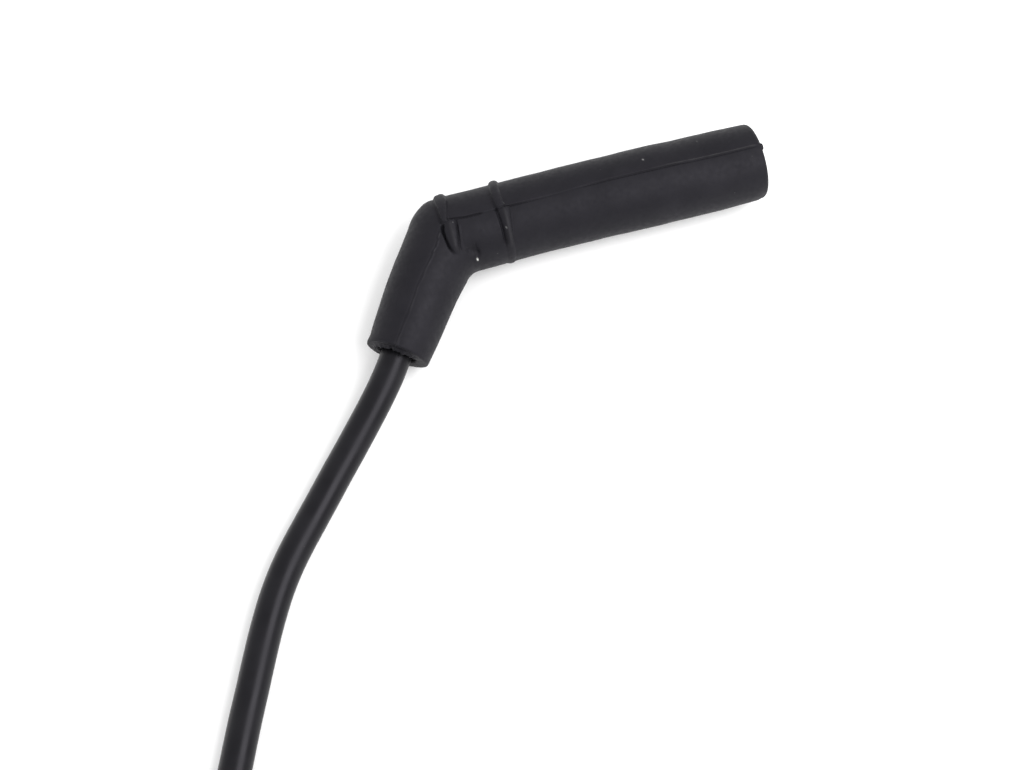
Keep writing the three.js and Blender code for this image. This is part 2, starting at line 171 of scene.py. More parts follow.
def edit(obj):
    select_only(obj)
    bpy.ops.object.mode_set(mode="EDIT")
    bpy.ops.mesh.select_mode(type="EDGE")
    bpy.ops.mesh.select_all(action="SELECT")


def leave_edit():
    bpy.ops.object.mode_set(mode="OBJECT")


def join_to(obj, *others):
    select_only(obj)
    for other in others:
        other.select_set(True)
    bpy.ops.object.join()


def new_rim(name, place, radius, sides):
    """An open ring of edges in the plane across the x axis, with its corners gathered at the seam."""
    across_x = (0, math.pi / 2, 0)
    circle = bpy.ops.mesh.primitive_circle_add
    obj = add_primitive(name, circle, vertices=sides, radius=radius, rotation=across_x)
    for vertex in obj.data.vertices:
        angle = math.atan2(vertex.co.z, vertex.co.y)
        angle += SEAM_GATHER * math.sin(2 * angle)
        vertex.co = place + Vector((0, radius * math.cos(angle), radius * math.sin(angle)))
    return obj


def select_rim_at(obj, x, slack=1e-6):
    """Selects the open edges in the plane across the x axis at x."""
    bpy.ops.mesh.select_all(action="DESELECT")
    bpy.ops.mesh.select_non_manifold()
    leave_edit()
    vertices = obj.data.vertices
    for vertex in vertices:
        vertex.select = vertex.select and abs(vertex.co.x - x) < slack
    for edge in obj.data.edges:
        edge.select = edge.select and all(vertices[i].select for i in edge.vertices)
    bpy.ops.object.mode_set(mode="EDIT")


def quarter_turn(steps):
    return [step * math.pi / 2 / steps for step in range(steps + 1)]


class Rim:
    """The selected ring of a tube that is being drawn out: its centre, direction, radius and distance."""

    def __init__(self, centre, direction, radius, along=0):
        self.centre = centre.copy()
        self.direction = direction.copy()
        self.radius = radius
        self.along = along

    def draw_to(self, along, radius, shift=0):
        """Extrudes to a distance along the direction and a radius, shifted upwards."""
        move = self.direction * (along - self.along) + Vector((0, 0, shift))
        bpy.ops.mesh.extrude_region_move(TRANSFORM_OT_translate={"value": move})
        self.centre += move
        self.along = along
        if abs(radius - self.radius) > 1e-9:
            factor = radius / self.radius
            bpy.ops.transform.resize(value=(factor, factor, factor), center_override=self.centre)
            self.radius = radius

    def draw_evenly(self, along, radius, steps):
        """Draws out in even steps, straight from this distance and radius to others."""
        start, length_left, widening = self.along, along - self.along, radius - self.radius
        first_radius = self.radius
        for step in range(1, steps + 1):
            part = step / steps
            self.draw_to(start + length_left * part, first_radius + widening * part)

    def round_to(self, end, side_radius, rounding, steps=6):
        """Draws out a rounded edge, from the side to the flat face at the end."""
        for angle in reversed(quarter_turn(steps)):
            back = rounding * (1 - math.cos(angle))
            self.draw_to(end - back, side_radius - rounding * (1 - math.sin(angle)))

    def turn_about(self, pivot, angle, steps):
        """Spins the rim about an upright axis; the spin operator counts clockwise turns."""
        bpy.ops.mesh.spin(steps=steps, angle=-angle, center=pivot, axis=(0, 0, 1))
        turn = Matrix.Rotation(angle, 3, "Z")
        self.centre = pivot + turn @ (self.centre - pivot)
        self.direction = turn @ self.direction
        self.along = 0

    def turn_back(self):
        """Makes the rim go back inside the tube."""
        self.direction = -self.direction
        self.along = 0


def close_and_smooth(obj, sharp_degrees=38):
    bpy.ops.mesh.select_all(action="SELECT")
    bpy.ops.mesh.remove_doubles(threshold=2e-6)
    bpy.ops.mesh.normals_make_consistent(inside=False)
    leave_edit()
    select_only(obj)
    bpy.ops.object.shade_smooth_by_angle(angle=math.radians(sharp_degrees))


def points_of(mesh):
    co = np.empty(len(mesh.vertices) * 3)
    mesh.vertices.foreach_get("co", co)
    return co.reshape(-1, 3)


def put_points(mesh, co):
    mesh.vertices.foreach_set("co", co.ravel())
    mesh.update()


def place_piece(obj, turn, place):
    """Lays a finished piece in the frame: the turn and the place go into its mesh."""
    obj.data.transform(Matrix.Translation(place) @ turn)
    obj.data.update()


def rest_on_floor(obj):
    """Flattens what would reach a hair below the floor, as a soft piece's own weight does."""
    co = points_of(obj.data)
    co[:, 2] = np.maximum(co[:, 2], 0)
    put_points(obj.data, co)


# Curves that the marks of the mould are made of


def hump(x, centre, width):
    return np.exp(-(((x - centre) / width) ** 2))


def smooth(low, high, x):
    """Eases from 0 at low to 1 at high."""
    t = np.clip((x - low) / (high - low), 0, 1)
    return t * t * (3 - 2 * t)


def read_pairs(pairs, x):
    """The second number of the pairs at x, straight between one pair and the next."""
    return np.interp(x, *zip(*pairs))


def beside(x, y, path):
    """Each point's distance to the left of a path in plan, and how far along it is, from 0 to 1."""
    nearest = np.full(len(x), 1e9)
    left = np.zeros(len(x))
    along = np.zeros(len(x))
    spans = [math.dist(a, b) for a, b in zip(path, path[1:])]
    gone = 0
    for (ax, ay), (bx, by), span in zip(path, path[1:], spans):
        ux, uy = (bx - ax) / span, (by - ay) / span
        t = np.clip((x - ax) * ux + (y - ay) * uy, 0, span)
        px, py = x - ax - t * ux, y - ay - t * uy
        distance = np.hypot(px, py)
        closer = distance < nearest
        side = np.where(ux * py - uy * px < 0, -1, 1)
        nearest = np.where(closer, distance, nearest)
        left = np.where(closer, side * distance, left)
        along = np.where(closer, (gone + t) / sum(spans), along)
        gone += span
    return left, along


def between_ends(along):
    return (along > 0) * (along < 1)


# Plug boot

ELBOW_RINGS = 110
LEAD_ARM_STEPS = 14
LEAD_END_ROUND = 0.5 * MM
MOUTH_ROUND_STEPS = 9
SWELL_AT = 48 * MM
SWELL_REACH = 20 * MM
MOUTH_TAPER = 14 * MM

# Stretches of the plug arm, in millimetres, whose rings lie close together for a rib or a grain
FINE_STRETCHES = [(0, 16.4), (46.5, 47.5), (54.1, 54.9), (59.9, 60.6)]
FINE_STEP = 0.16 * MM
WIDE_STEP = 1.25 * MM
LAST_STEP = 0.9 * MM

# Inside of both boots, in millimetres: distance behind the mouth's face or a bead, and radius
MOUTH_LIP = [(0.02, 6.25), (0.1, 6.02), (0.3, 5.93), (1.6, 5.4), (6.6, 5.4)]
BEAD_PLACES = (8, 14)
BEAD_SECTION = [(-0.9, 5.4), (-0.5, 5.26), (0, 5.15), (0.5, 5.26), (0.9, 5.4)]
BORE_RADIUS = 5.4 * MM
CHAMBER_LENGTH = 13.5 * MM
CHAMBER_RADIUS = 5.1 * MM
NECK_RADIUS = 2.65 * MM
NECK_BEND = 4 * MM
NECK_RINGS = 10
POCKET_LENGTH = 10.6 * MM
POCKET_RADIUS = 5.2 * MM
POCKET_RISE = 0.6 * MM
LEAD_HOLE_RADIUS = 3.8 * MM
HOLE_EDGE = 4.75 * MM
HOLE_RISE = 0.4 * MM
CLEARANCE = 0.3 * MM
# How far the socket's rear is in front of the plug boot's reference, and the crimp behind it
PLUG_SOCKET_REAR = 26 * MM
PLUG_CRIMP_REAR = 8 * MM
LIP_RINGS = (1.15, 0.75, 0.45, 0.2, 0)

# The nub of flash at the mouth; its tip, in millimetres, is the distance out and the radius
FLASH_RADIUS = 0.55 * MM
FLASH_SIDES = 24
FLASH_TIP = [(0.75, 0.52), (0.95, 0.45), (1.08, 0.32), (1.14, 0.15)]


def elbow_plan(sizes):
    """Centres in plan of the rounds inside and outside the elbow, and the lead arm's normal."""
    normal = Vector((-LEAD_DIRECTION.y, LEAD_DIRECTION.x, 0))
    inner_y = -sizes.plug_arm_radius - sizes.inner_round
    inner_x = (sizes.lead_arm_radius + sizes.inner_round - normal.y * inner_y) / normal.x
    outer_y = sizes.plug_arm_radius - sizes.outer_round
    outer_x = (sizes.outer_round - sizes.lead_arm_radius - normal.y * outer_y) / normal.x
    return Vector((inner_x, inner_y, 0)), Vector((outer_x, outer_y, 0)), normal


def elbow_reach(sizes, turn):
    """Distance from the inner round's centre to the elbow's outer side, at a turn."""
    inner, outer, normal = elbow_plan(sizes)
    across = Vector((-math.sin(turn), math.cos(turn), 0))
    to_outer = outer - inner
    plug_tangent = math.atan2(-to_outer.x, to_outer.y + sizes.outer_round)
    lead_point = to_outer - normal * sizes.outer_round
    lead_tangent = math.atan2(-lead_point.x, lead_point.y)
    if turn < plug_tangent:
        return (2 * sizes.plug_arm_radius + sizes.inner_round) / math.cos(turn)
    if turn > lead_tangent:
        return (2 * sizes.lead_arm_radius + sizes.inner_round) / math.cos(ELBOW_TURN - turn)
    middle = to_outer.dot(across)
    return middle + math.sqrt(sizes.outer_round ** 2 - to_outer.length_squared + middle ** 2)


def shape_elbow(obj, sizes):
    """Fills the spun elbow out to its rounds, and eases its height from one arm to the other."""
    inner = elbow_plan(sizes)[0]
    co = points_of(obj.data)
    middle = sizes.plug_arm_radius + sizes.inner_round
    for i, point in enumerate(co):
        dx, dy = point[0] - inner.x, point[1] - inner.y
        turn = math.atan2(-dx, dy)
        reach = elbow_reach(sizes, min(max(turn, 0), ELBOW_TURN))
        half = (reach - sizes.inner_round) / 2
        off_axis = (math.hypot(dx, dy) - middle) / sizes.plug_arm_radius
        distance = (reach + sizes.inner_round) / 2 + off_axis * half
        narrowing = (sizes.lead_arm_radius - sizes.plug_arm_radius) * smooth(0, ELBOW_TURN, turn)
        co[i] = (
            inner.x - distance * math.sin(turn),
            inner.y + distance * math.cos(turn),
            point[2] / sizes.plug_arm_radius * (sizes.plug_arm_radius + narrowing),
        )
    put_points(obj.data, co)


def plug_arm_radius_at(sizes, along):
    swell = sizes.swell_height * hump(along, SWELL_AT, SWELL_REACH)
    taper = max(0, (along - sizes.plug_arm_length + MOUTH_TAPER) / MOUTH_TAPER)
    return sizes.plug_arm_radius + swell + (sizes.mouth_radius - sizes.plug_arm_radius) * taper ** 2


def plug_boot_stations(start, end):
    """Stations along the plug arm: close together over the ribs and the grains, wider between."""
    stations = []
    along = start
    while along < end - LAST_STEP:
        close = any(low * MM <= along < high * MM for low, high in FINE_STRETCHES)
        steps = [FINE_STEP if close else WIDE_STEP]
        steps += [low * MM - along for low, _ in FINE_STRETCHES if low * MM > along + 1e-6]
        along += min(steps)
        stations.append(along)
    return stations[:-1]


# Marks of the mould on the plug boot: x and y in plan, millimetres from the elbow, as seen from
# above. The underside, which the other face of each mould half makes, mirrors them.
SEAM_CORNER = (-0.12, 0.02)
SEAM_ON_PLUG_ARM = [
    (74, 0.4), (72, 0.3), (66, 0.23), (60.5, 0.24), (57.5, 0.33), (54.7, 0.43), (52, 0.5),
    (46, 0.55), (38, 0.6), (31, 0.5), (25, 0.2), (17, 0.15),
    (12, 0.1), (8.5, 0.04), (5.1, 0.02), (2.9, 0.33), (1.3, 0.42), SEAM_CORNER,
]
SEAM_ON_LEAD_ARM = [
    SEAM_CORNER, (-1, -1.67), (-1.82, -3.12), (-2.69, -4.76), (-4.1, -6.7), (-5.39, -8.3),
    (-6.68, -9.8), (-8.72, -12.6), (-10.97, -16.1), (-12.99, -18.95), (-15.11, -22), (-17, -24.7),
]
# Depth of the seam's crack, by x
CRACK_DEPTH = [
    (0.9, 0), (1.8, 0.5), (8.3, 0.5), (9.3, 0.08), (11.5, 0.08), (12.2, 0.36), (17, 0.36), (22, 0.14),
    (25, 0.12), (27, 0.05), (31, 0.05), (33.5, 0.28), (53, 0.28), (56, 0.16), (74, 0.16),
]
# The ribs' sides: distance from the plug arm's axis, then x. The outer halves lie at positive y.
FIRST_RIB_LEFT = [(0, -0.12), (1.6, -0.18), (3.5, -0.16), (5.2, -0.33), (7.4, -0.2), (9, 0.35)]
FIRST_RIB_RIGHT = [(0.7, 1.3), (2.9, 1.8), (5.2, 2.3), (6.3, 2.3), (9, 2.45)]
SECOND_RIB_LEFT = [(0.4, 12.1), (2.5, 11.95), (5, 12), (9, 12.75)]
SECOND_RIB_RIGHT = [(0.5, 14.3), (2.5, 14.1), (5, 14.2), (9, 14.9)]
# The inner halves climb from a foot to a crest and drop to an end
FIRST_RIB_FOOT = [(0.2, -0.07), (1.2, -0.26), (2.1, -0.42), (4, -0.22), (5.5, 0.05), (6.9, 0.61)]
FIRST_RIB_CREST = [(0, 1.5), (2.4, 1.45), (4.5, 1.4), (6.2, 1.2), (7.3, 1.3)]
FIRST_RIB_END = [(0, 2.9), (0.6, 2.9), (3.4, 2.65), (5.5, 2.35), (7.3, 2.1)]
SECOND_RIB_FOOT = [(0, 12.3), (2.5, 12.45), (4.7, 12.6), (6.6, 12.6), (9, 12.75)]
SECOND_RIB_END = [(0.9, 15.2), (4, 14.8), (7, 14.4), (9, 14.5)]
FIRST_RIB_CREASE = [
    (-0.07, -0.24), (-0.3, -1.17), (-0.42, -2.07), (-0.22, -3.96), (0.05, -5.54), (0.61, -6.89), (1.19, -7.3)
]
SECOND_RIB_CREASE = [(12.19, 0.1), (12.4, -2.5), (12.54, -4.7), (12.53, -6.6), (12.6, -7.8)]
SMALL_RIDGE = [(3.32, -1.3), (3.11, -2.91), (2.91, -4.56), (2.76, -5.56), (2.68, -6.3)]
# Dimples: x, y, radius and depth
DIMPLES = [(5.2, -7.1, 0.8, 0.75), (4.2, -6.8, 0.45, 0.4), (6.1, -7.5, 0.45, 0.5), (5.9, -6.3, 0.3, 0.25)]
# Pale grains of dust stuck to the rubber, and at x 47.03 a pale spot painted for a glint on a pinhole
# bubble: x, y, radius and how pale
GRAINS_AND_GLINT = [
    (5.76, -8.6, 0.2, 1), (47.03, 3.52, 0.2, 0.3), (60.25, 5.31, 0.17, 0.12),
    (13.35, -4.19, 0.16, 0.16), (8.4, -3.6, 0.12, 0.1), (14.2, 1, 0.14, 0.1), (2.2, -0.7, 0.12, 0.12),
]
GRAIN_HEIGHT = 0.14


def seam_relief(x, y):
    """The parting line: a crack near the elbow, then a fine ridge with a groove beside it."""
    left, _ = beside(x, y, SEAM_ON_PLUG_ARM)
    ridge = 0.03 + 0.18 * smooth(30, 52, x) * (1 + 0.2 * np.sin(1.7 * x) + 0.2 * np.sin(0.61 * x + 1))
    plug = ridge * hump(left, -0.3, 0.18) - read_pairs(CRACK_DEPTH, x) * hump(left, 0, 0.2)
    left, along = beside(x, y, SEAM_ON_LEAD_ARM)
    edge = (0.1 - 0.04 * smooth(0.25, 0.6, along)) * (1 + 0.8 * np.sin(2.3 * y) * np.sin(5.1 * y))
    left += 0.12 * np.sin(1.9 * y) + 0.06 * np.sin(4.3 * y + 1)
    lead = edge * hump(left, 0.1, 0.17) - 0.06 * hump(left, -0.28, 0.2)
    return np.where(x > SEAM_CORNER[0], plug, np.where(y > 0.6, 0, lead))


def full_rib(x, left, right, power):
    """A rib's section: 0 at both sides, 1 in the middle."""
    inside = 1 - np.abs((x - (left + right) / 2) / ((right - left) / 2)) ** power
    return np.sqrt(np.clip(inside, 0, None))


def leaning_rib(x, foot, crest, end):
    """A rib's section that climbs slowly from its foot to its crest and then drops."""
    climb = np.clip((x - foot) / (crest - foot), 0, 1)
    drop = np.clip((x - crest) / (end - crest), 0, 1)
    return np.where(x <= crest, climb ** 0.7, np.sqrt(1 - drop ** 2)) * (x > foot) * (x < end)


def rib_relief(x, y, height):
    """Two ribs round the plug arm, each made by two mould halves that don't quite meet."""
    left = read_pairs(FIRST_RIB_LEFT, y)
    outer = full_rib(x, left, read_pairs(FIRST_RIB_RIGHT, y), 3)
    outer += 0.14 * hump(x, left + 0.22, 0.16) * smooth(8.4, 7, y)
    outer -= 0.28 * hump(x, left - 0.3, 0.28) * smooth(8, 5, y)
    left = read_pairs(SECOND_RIB_LEFT, y)
    outer += full_rib(x, left, read_pairs(SECOND_RIB_RIGHT, y), 2.2)
    outer -= 0.2 * hump(x, left - 0.05, 0.3) * smooth(7.5, 5, y)
    end = read_pairs(FIRST_RIB_END, -y)
    inner = 1.05 * leaning_rib(x, read_pairs(FIRST_RIB_FOOT, -y), read_pairs(FIRST_RIB_CREST, -y), end)
    inner = (inner - 0.34 * hump(x, end + 0.05, 0.17)) * smooth(7.5, 5.4, -y)
    distance, along = beside(x, y, SMALL_RIDGE)
    inner += 0.36 * hump(distance, 0, 0.2) * between_ends(along)
    foot, end = read_pairs(SECOND_RIB_FOOT, -y), read_pairs(SECOND_RIB_END, -y)
    faint = 1 - 0.62 * smooth(6.6, 8, -y)
    inner += 1.05 * leaning_rib(x, foot, (foot + end) / 2, end) * faint
    return height * np.where(y > 0, outer, inner)


def crease_relief(x, y):
    """Dark creases where the inner half's ribs leave the arm, and the dimple beside the first."""
    distance, along = beside(x, y, FIRST_RIB_CREASE)
    depth = 0.85 * smooth(0, 0.08, along) * smooth(1, 0.6, along) + 0.15
    relief = -depth * hump(distance, 0, 0.34 - 0.16 * smooth(0.05, 0.5, along)) * between_ends(along)
    distance, along = beside(x, y, SECOND_RIB_CREASE)
    relief -= 0.42 * smooth(1, 0.8, along) * hump(distance, 0, 0.24) * between_ends(along)
    for at_x, at_y, radius, depth in DIMPLES:
        relief -= depth * np.exp(-((x - at_x) ** 2 + (y - at_y) ** 2) / radius ** 2)
    return relief


def grain_and_glint_cover(x, y):
    """How far each point is covered by one of the pale grains of dust that stick to the rubber, and by the
    pale spot painted for a glint on a pinhole bubble.
    """
    cover = np.zeros(len(x))
    for at_x, at_y, radius, pale in GRAINS_AND_GLINT:
        cover += pale * np.exp(-(((x - at_x) ** 2 + (y - at_y) ** 2) / radius ** 2) ** 2)
    return np.clip(cover, 0, 1)


def painted_ridge_highlights(x, y):
    """Painted highlight: how much paler colour is painted along the seam's fine ridge and the ribs' crests,
    where light catches them, next to a grain's 1.
    """
    left, _ = beside(x, y, SEAM_ON_PLUG_ARM)
    uneven = 0.7 + 0.3 * np.sin(2.1 * x) * np.sin(0.8 * x + 0.5)
    # Painted highlight along the seam's ridge on the plug arm, then on the lead arm, then on the ribs'
    # crests
    pale = 0.028 * hump(left, -0.32, 0.14) * smooth(46, 56, x) * uneven
    left, _ = beside(x, y, SEAM_ON_LEAD_ARM)
    uneven = np.clip(0.3 + 0.9 * np.sin(3.1 * y) * np.sin(1.3 * y + 2), 0, 1)
    pale += 0.012 * hump(left, 0.1, 0.14) * (y < -2) * (x < 0) * uneven
    crest = hump(x, 1.6 + 0.05 * y, 0.35) * smooth(0, -1, y) * smooth(-7, -5, y)
    crest += hump(x, 13.9, 0.4) * smooth(0, -1, y) * smooth(-8, -6, y)
    return pale + 0.012 * crest


# How far the real boot's skin lies towards the elbow's inside, from the plain sweep, in
# millimetres: the station along the boot, then the outer and the inner side of the elbow
SKIN_SHIFT = [
    (-24.2, 0.42, 0.07), (-20.7, 0.18, 0.21), (-17.7, 0.15, 0.22), (-11.7, 0.08, 0.13),
    (-8.7, 0.16, 0.13), (-5.7, 0.27, 0.31), (-4.1, 0.4, 0.45), (-0.8, 0.46, 0.42), (-0.2, 0.32, 0.41),
    (0.4, 0.16, 0.41), (1, 0.03, 0.41), (1.6, -0.08, 0.41), (2.4, -0.22, 0.42), (3, -0.1, 0.44),
    (3.4, 0.15, 0.46), (4, 0.36, 0.48), (5, 0.4, 0.53), (7, 0.41, 0.6), (11, 0.35, 0.46),
    (18, 0.21, 0.17), (25, 0.12, 0.03), (40, 0.05, 0), (48, 0.03, 0.08), (55, 0.17, 0.12),
    (65, 0.2, 0.1), (74, 0.05, 0.15),
]
ELBOW_STATION = 7
DEGREES_PER_STATION = 5
LEAD_ARM_START = 8.4

# What counts as the boot's skin, in millimetres: outside a radius and short of both end faces
SKIN_RADIUS = 6.7
SKIN_MOUTH_END = 72.6
SKIN_LEAD_END = 29.4
ARM_RADIUS = 9


def boot_stations(sizes, x, y):
    """The turn about the elbow's inside, the station, and the distances outwards and along the lead arm."""
    inner = elbow_plan(sizes)[0] / MM
    turn = np.clip(np.arctan2(inner.x - x, y - inner.y), 0, ELBOW_TURN)
    on_plug_arm, on_lead_arm = turn <= 0, turn >= ELBOW_TURN
    along_lead = x * LEAD_DIRECTION.x + y * LEAD_DIRECTION.y
    across_lead = x * LEAD_DIRECTION.y - y * LEAD_DIRECTION.x
    end = ELBOW_STATION - math.degrees(ELBOW_TURN) / DEGREES_PER_STATION
    station = ELBOW_STATION - np.degrees(turn) / DEGREES_PER_STATION
    station = np.where(on_plug_arm, x, np.where(on_lead_arm, end + LEAD_ARM_START - along_lead, station))
    outwards = np.hypot(x - inner.x, y - inner.y) + inner.y
    outwards = np.where(on_plug_arm, y, np.where(on_lead_arm, across_lead, outwards))
    return turn, station, outwards, along_lead


def torn_lip(co, sizes):
    """How far the torn flash over the lead's hole stands out at each point of the boot."""
    along = co[:, 0] * LEAD_DIRECTION.x + co[:, 1] * LEAD_DIRECTION.y
    across = co[:, 0] * LEAD_DIRECTION.y - co[:, 1] * LEAD_DIRECTION.x
    up = co[:, 2] - HOLE_RISE
    angle = np.arctan2(up, across)
    ragged = 0.62 + 0.12 * np.sin(7 * angle + 1) + 0.13 * np.sin(17 * angle) + 0.1 * np.sin(29 * angle + 2)
    near_edge = hump(np.hypot(across, up), HOLE_EDGE + 0.1 * MM, 0.45 * MM)
    over_lead = smooth(0, 0.5, np.sin(angle + 0.25))
    return ragged * MM * near_edge * over_lead * (along > sizes.lead_arm_length - 0.9 * MM)


def mould_boot(obj, sizes):
    """Presses the marks of the mould into the outside of the plug boot."""
    mesh = obj.data
    co = points_of(mesh)
    normals = np.empty(len(co) * 3)
    mesh.vertices.foreach_get("normal", normals)
    x, y, z = co.T / MM
    turn, station, outwards, along_lead = boot_stations(sizes, x, y)
    skin = (np.hypot(outwards, z) > SKIN_RADIUS) & (x < SKIN_MOUTH_END) & (along_lead < SKIN_LEAD_END)
    stations, outer, inner = np.array(SKIN_SHIFT).T
    side = np.clip(0.5 + outwards / (2 * ARM_RADIUS), 0, 1)
    shift = np.interp(station, stations, inner) * (1 - side) + np.interp(station, stations, outer) * side
    shift = np.where(skin, shift, 0)
    x, y = x + shift * np.sin(turn), y - shift * np.cos(turn)
    near_ribs = (x > -1.2) * (x < 17)
    rise = rib_relief(x, y, sizes.rib_height / MM) * near_ribs + seam_relief(x, y) + crease_relief(x, y)
    on_lead_arm = turn > ELBOW_TURN / 2
    rise += on_lead_arm * 0.26 * hump(along_lead, 29.05, 0.28) * smooth(-0.6, 0.8, outwards)
    wave = 0.03 * np.sin(x * 0.37 + 0.3 * y) + 0.02 * np.sin(x * 0.83 - 0.5 * y + 1)
    rise += wave * smooth(18, 26, x) * smooth(72, 64, x)
    # Pale grains of dust and the pale spot painted for a glint on a pinhole bubble
    cover = grain_and_glint_cover(x, y) * ((z > 0) & skin)
    rise += GRAIN_HEIGHT * cover
    rise = np.where(skin, rise, 0)
    co = np.column_stack((x, y, z)) * MM + (rise * MM)[:, None] * normals.reshape(-1, 3)
    co[:, 0] += (-0.08 - 0.33 * y / ARM_RADIUS) * smooth(58, 72, x) * MM
    co += torn_lip(co, sizes)[:, None] * np.array(LEAD_DIRECTION)
    put_points(mesh, co)
    # The pale attribute holds the pale grains of dust, a painted glint and the painted highlight along the
    # seam's ridge and the ribs' crests
    pale = mesh.attributes.new("pale", "FLOAT", "POINT")
    pale.data.foreach_set("value", np.maximum(cover, painted_ridge_highlights(x, y) * skin))


def bore_inside(rim, mouth, socket_rear):
    """From the mouth's face in: lip, bore with two sealing beads, terminal chamber and neck passage."""
    beads = [(place + back, radius) for place in BEAD_PLACES for back, radius in BEAD_SECTION]
    for depth, radius in MOUTH_LIP + beads:
        rim.draw_to(depth * MM, radius * MM)
    chamber_front = mouth - (socket_rear + CHAMBER_LENGTH)
    chamber_rear = mouth - socket_rear + CLEARANCE
    rim.draw_to(chamber_front, BORE_RADIUS)
    rim.draw_to(chamber_front + CLEARANCE, CHAMBER_RADIUS)
    rim.draw_to(chamber_rear, CHAMBER_RADIUS)
    rim.draw_to(chamber_rear, NECK_RADIUS)


def crimp_pocket(rim, crimp_rear, hole_end):
    """From the neck passage out: crimp pocket, lead hole and its widened end."""
    front = crimp_rear - CLEARANCE
    rear = front + POCKET_LENGTH
    rim.draw_to(front, rim.radius)
    rim.draw_to(front, POCKET_RADIUS, POCKET_RISE)
    rim.draw_to(rear, POCKET_RADIUS)
    rim.draw_to(rear, LEAD_HOLE_RADIUS, -POCKET_RISE)
    rim.draw_to(hole_end - 1.6 * MM, LEAD_HOLE_RADIUS)
    rim.draw_to(hole_end - 0.5 * MM, HOLE_EDGE - 0.35 * MM, HOLE_RISE)
    rim.draw_to(hole_end - 0.12 * MM, HOLE_EDGE - 0.18 * MM)
    rim.draw_to(hole_end, HOLE_EDGE)


def make_flash(sizes):
    """The nub of flash that the seam leaves on the mouth's upper edge."""
    centre = Vector((sizes.plug_arm_length - 0.95 * MM, 0.1 * MM, sizes.mouth_radius - FLASH_RADIUS))
    nub = new_rim("flash", centre, FLASH_RADIUS, FLASH_SIDES)
    edit(nub)
    bpy.ops.mesh.edge_face_add()
    rim = Rim(centre, Vector((1, 0, 0)), FLASH_RADIUS)
    for along, radius in FLASH_TIP:
        rim.draw_to(along * MM, radius * MM)
    bpy.ops.mesh.edge_face_add()
    bpy.ops.mesh.select_all(action="SELECT")
    bpy.ops.transform.resize(value=(1, 1.7, 0.75), center_override=centre)
    close_and_smooth(nub)
    return nub


def make_plug_boot(sizes, finishes):
    inner = elbow_plan(sizes)[0]
    start = Vector((inner.x, 0, 0))
    boot = new_rim("plug_boot_moulded", start, sizes.plug_arm_radius, RING_SIDES)
    edit(boot)
    rim = Rim(start, Vector((-1, 0, 0)), sizes.plug_arm_radius)
    rim.turn_about(inner, ELBOW_TURN, ELBOW_RINGS)
    leave_edit()
    shape_elbow(boot, sizes)
    bpy.ops.object.mode_set(mode="EDIT")

    lead_start = rim.centre.dot(LEAD_DIRECTION)
    rim = Rim(LEAD_DIRECTION * lead_start, LEAD_DIRECTION, sizes.lead_arm_radius, lead_start)
    rim.draw_evenly(sizes.lead_arm_length - LEAD_END_ROUND, sizes.lead_arm_end, LEAD_ARM_STEPS)
    rim.round_to(sizes.lead_arm_length, sizes.lead_arm_end, LEAD_END_ROUND)
    for ring, lip in enumerate(LIP_RINGS):
        rim.draw_to(sizes.lead_arm_length, HOLE_EDGE + lip * MM, 0 if ring else HOLE_RISE)

    select_rim_at(boot, start.x)
    rim = Rim(start, Vector((1, 0, 0)), sizes.plug_arm_radius, start.x)
    for along in plug_boot_stations(start.x, sizes.plug_arm_length - sizes.mouth_round):
        rim.draw_to(along, plug_arm_radius_at(sizes, along))
    rim.round_to(sizes.plug_arm_length, sizes.mouth_radius, sizes.mouth_round, MOUTH_ROUND_STEPS)
    rim.turn_back()
    bore_inside(rim, sizes.plug_arm_length, PLUG_SOCKET_REAR)
    tangent = NECK_BEND * math.tan(ELBOW_TURN / 2)
    rim.draw_to(sizes.plug_arm_length - tangent, NECK_RADIUS)
    rim.turn_about(Vector((tangent, -NECK_BEND, 0)), ELBOW_TURN, NECK_RINGS)
    rim.along = tangent
    crimp_pocket(rim, PLUG_CRIMP_REAR, sizes.lead_arm_length)
    close_and_smooth(boot)
    mould_boot(boot, sizes)
    join_to(boot, make_flash(sizes))
    place_piece(boot, Matrix.Rotation(LIE_ANGLE, 4, "X"), ELBOW)
    rest_on_floor(boot)
    boot.data.materials.append(moulded_rubber(finishes))
    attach(boot, BODY)
    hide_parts("plug_boot")


# Straight boot

SIDE_END = 10 * MM
COLLAR_FRONT = 9 * MM
COLLAR_REAR = 4 * MM
COLLAR_ROUND = 1.2 * MM
COLLAR_STEPS = 6
REAR_RADIUS = 7.25 * MM
FLARE_LENGTH = 2.4 * MM
FLARE_STEPS = 12
SKIRT_SIDE_END = 1.2 * MM
CAP_MOUTH_ROUND = 1.1 * MM
CAP_MOUTH_STEPS = 8
CAP_SOCKET_REAR = 6 * MM
CAP_CRIMP_REAR = 4 * MM
# Radius, in millimetres, from which the seam's ridge is trimmed off
TRIMMED_RADIUS = 9.9


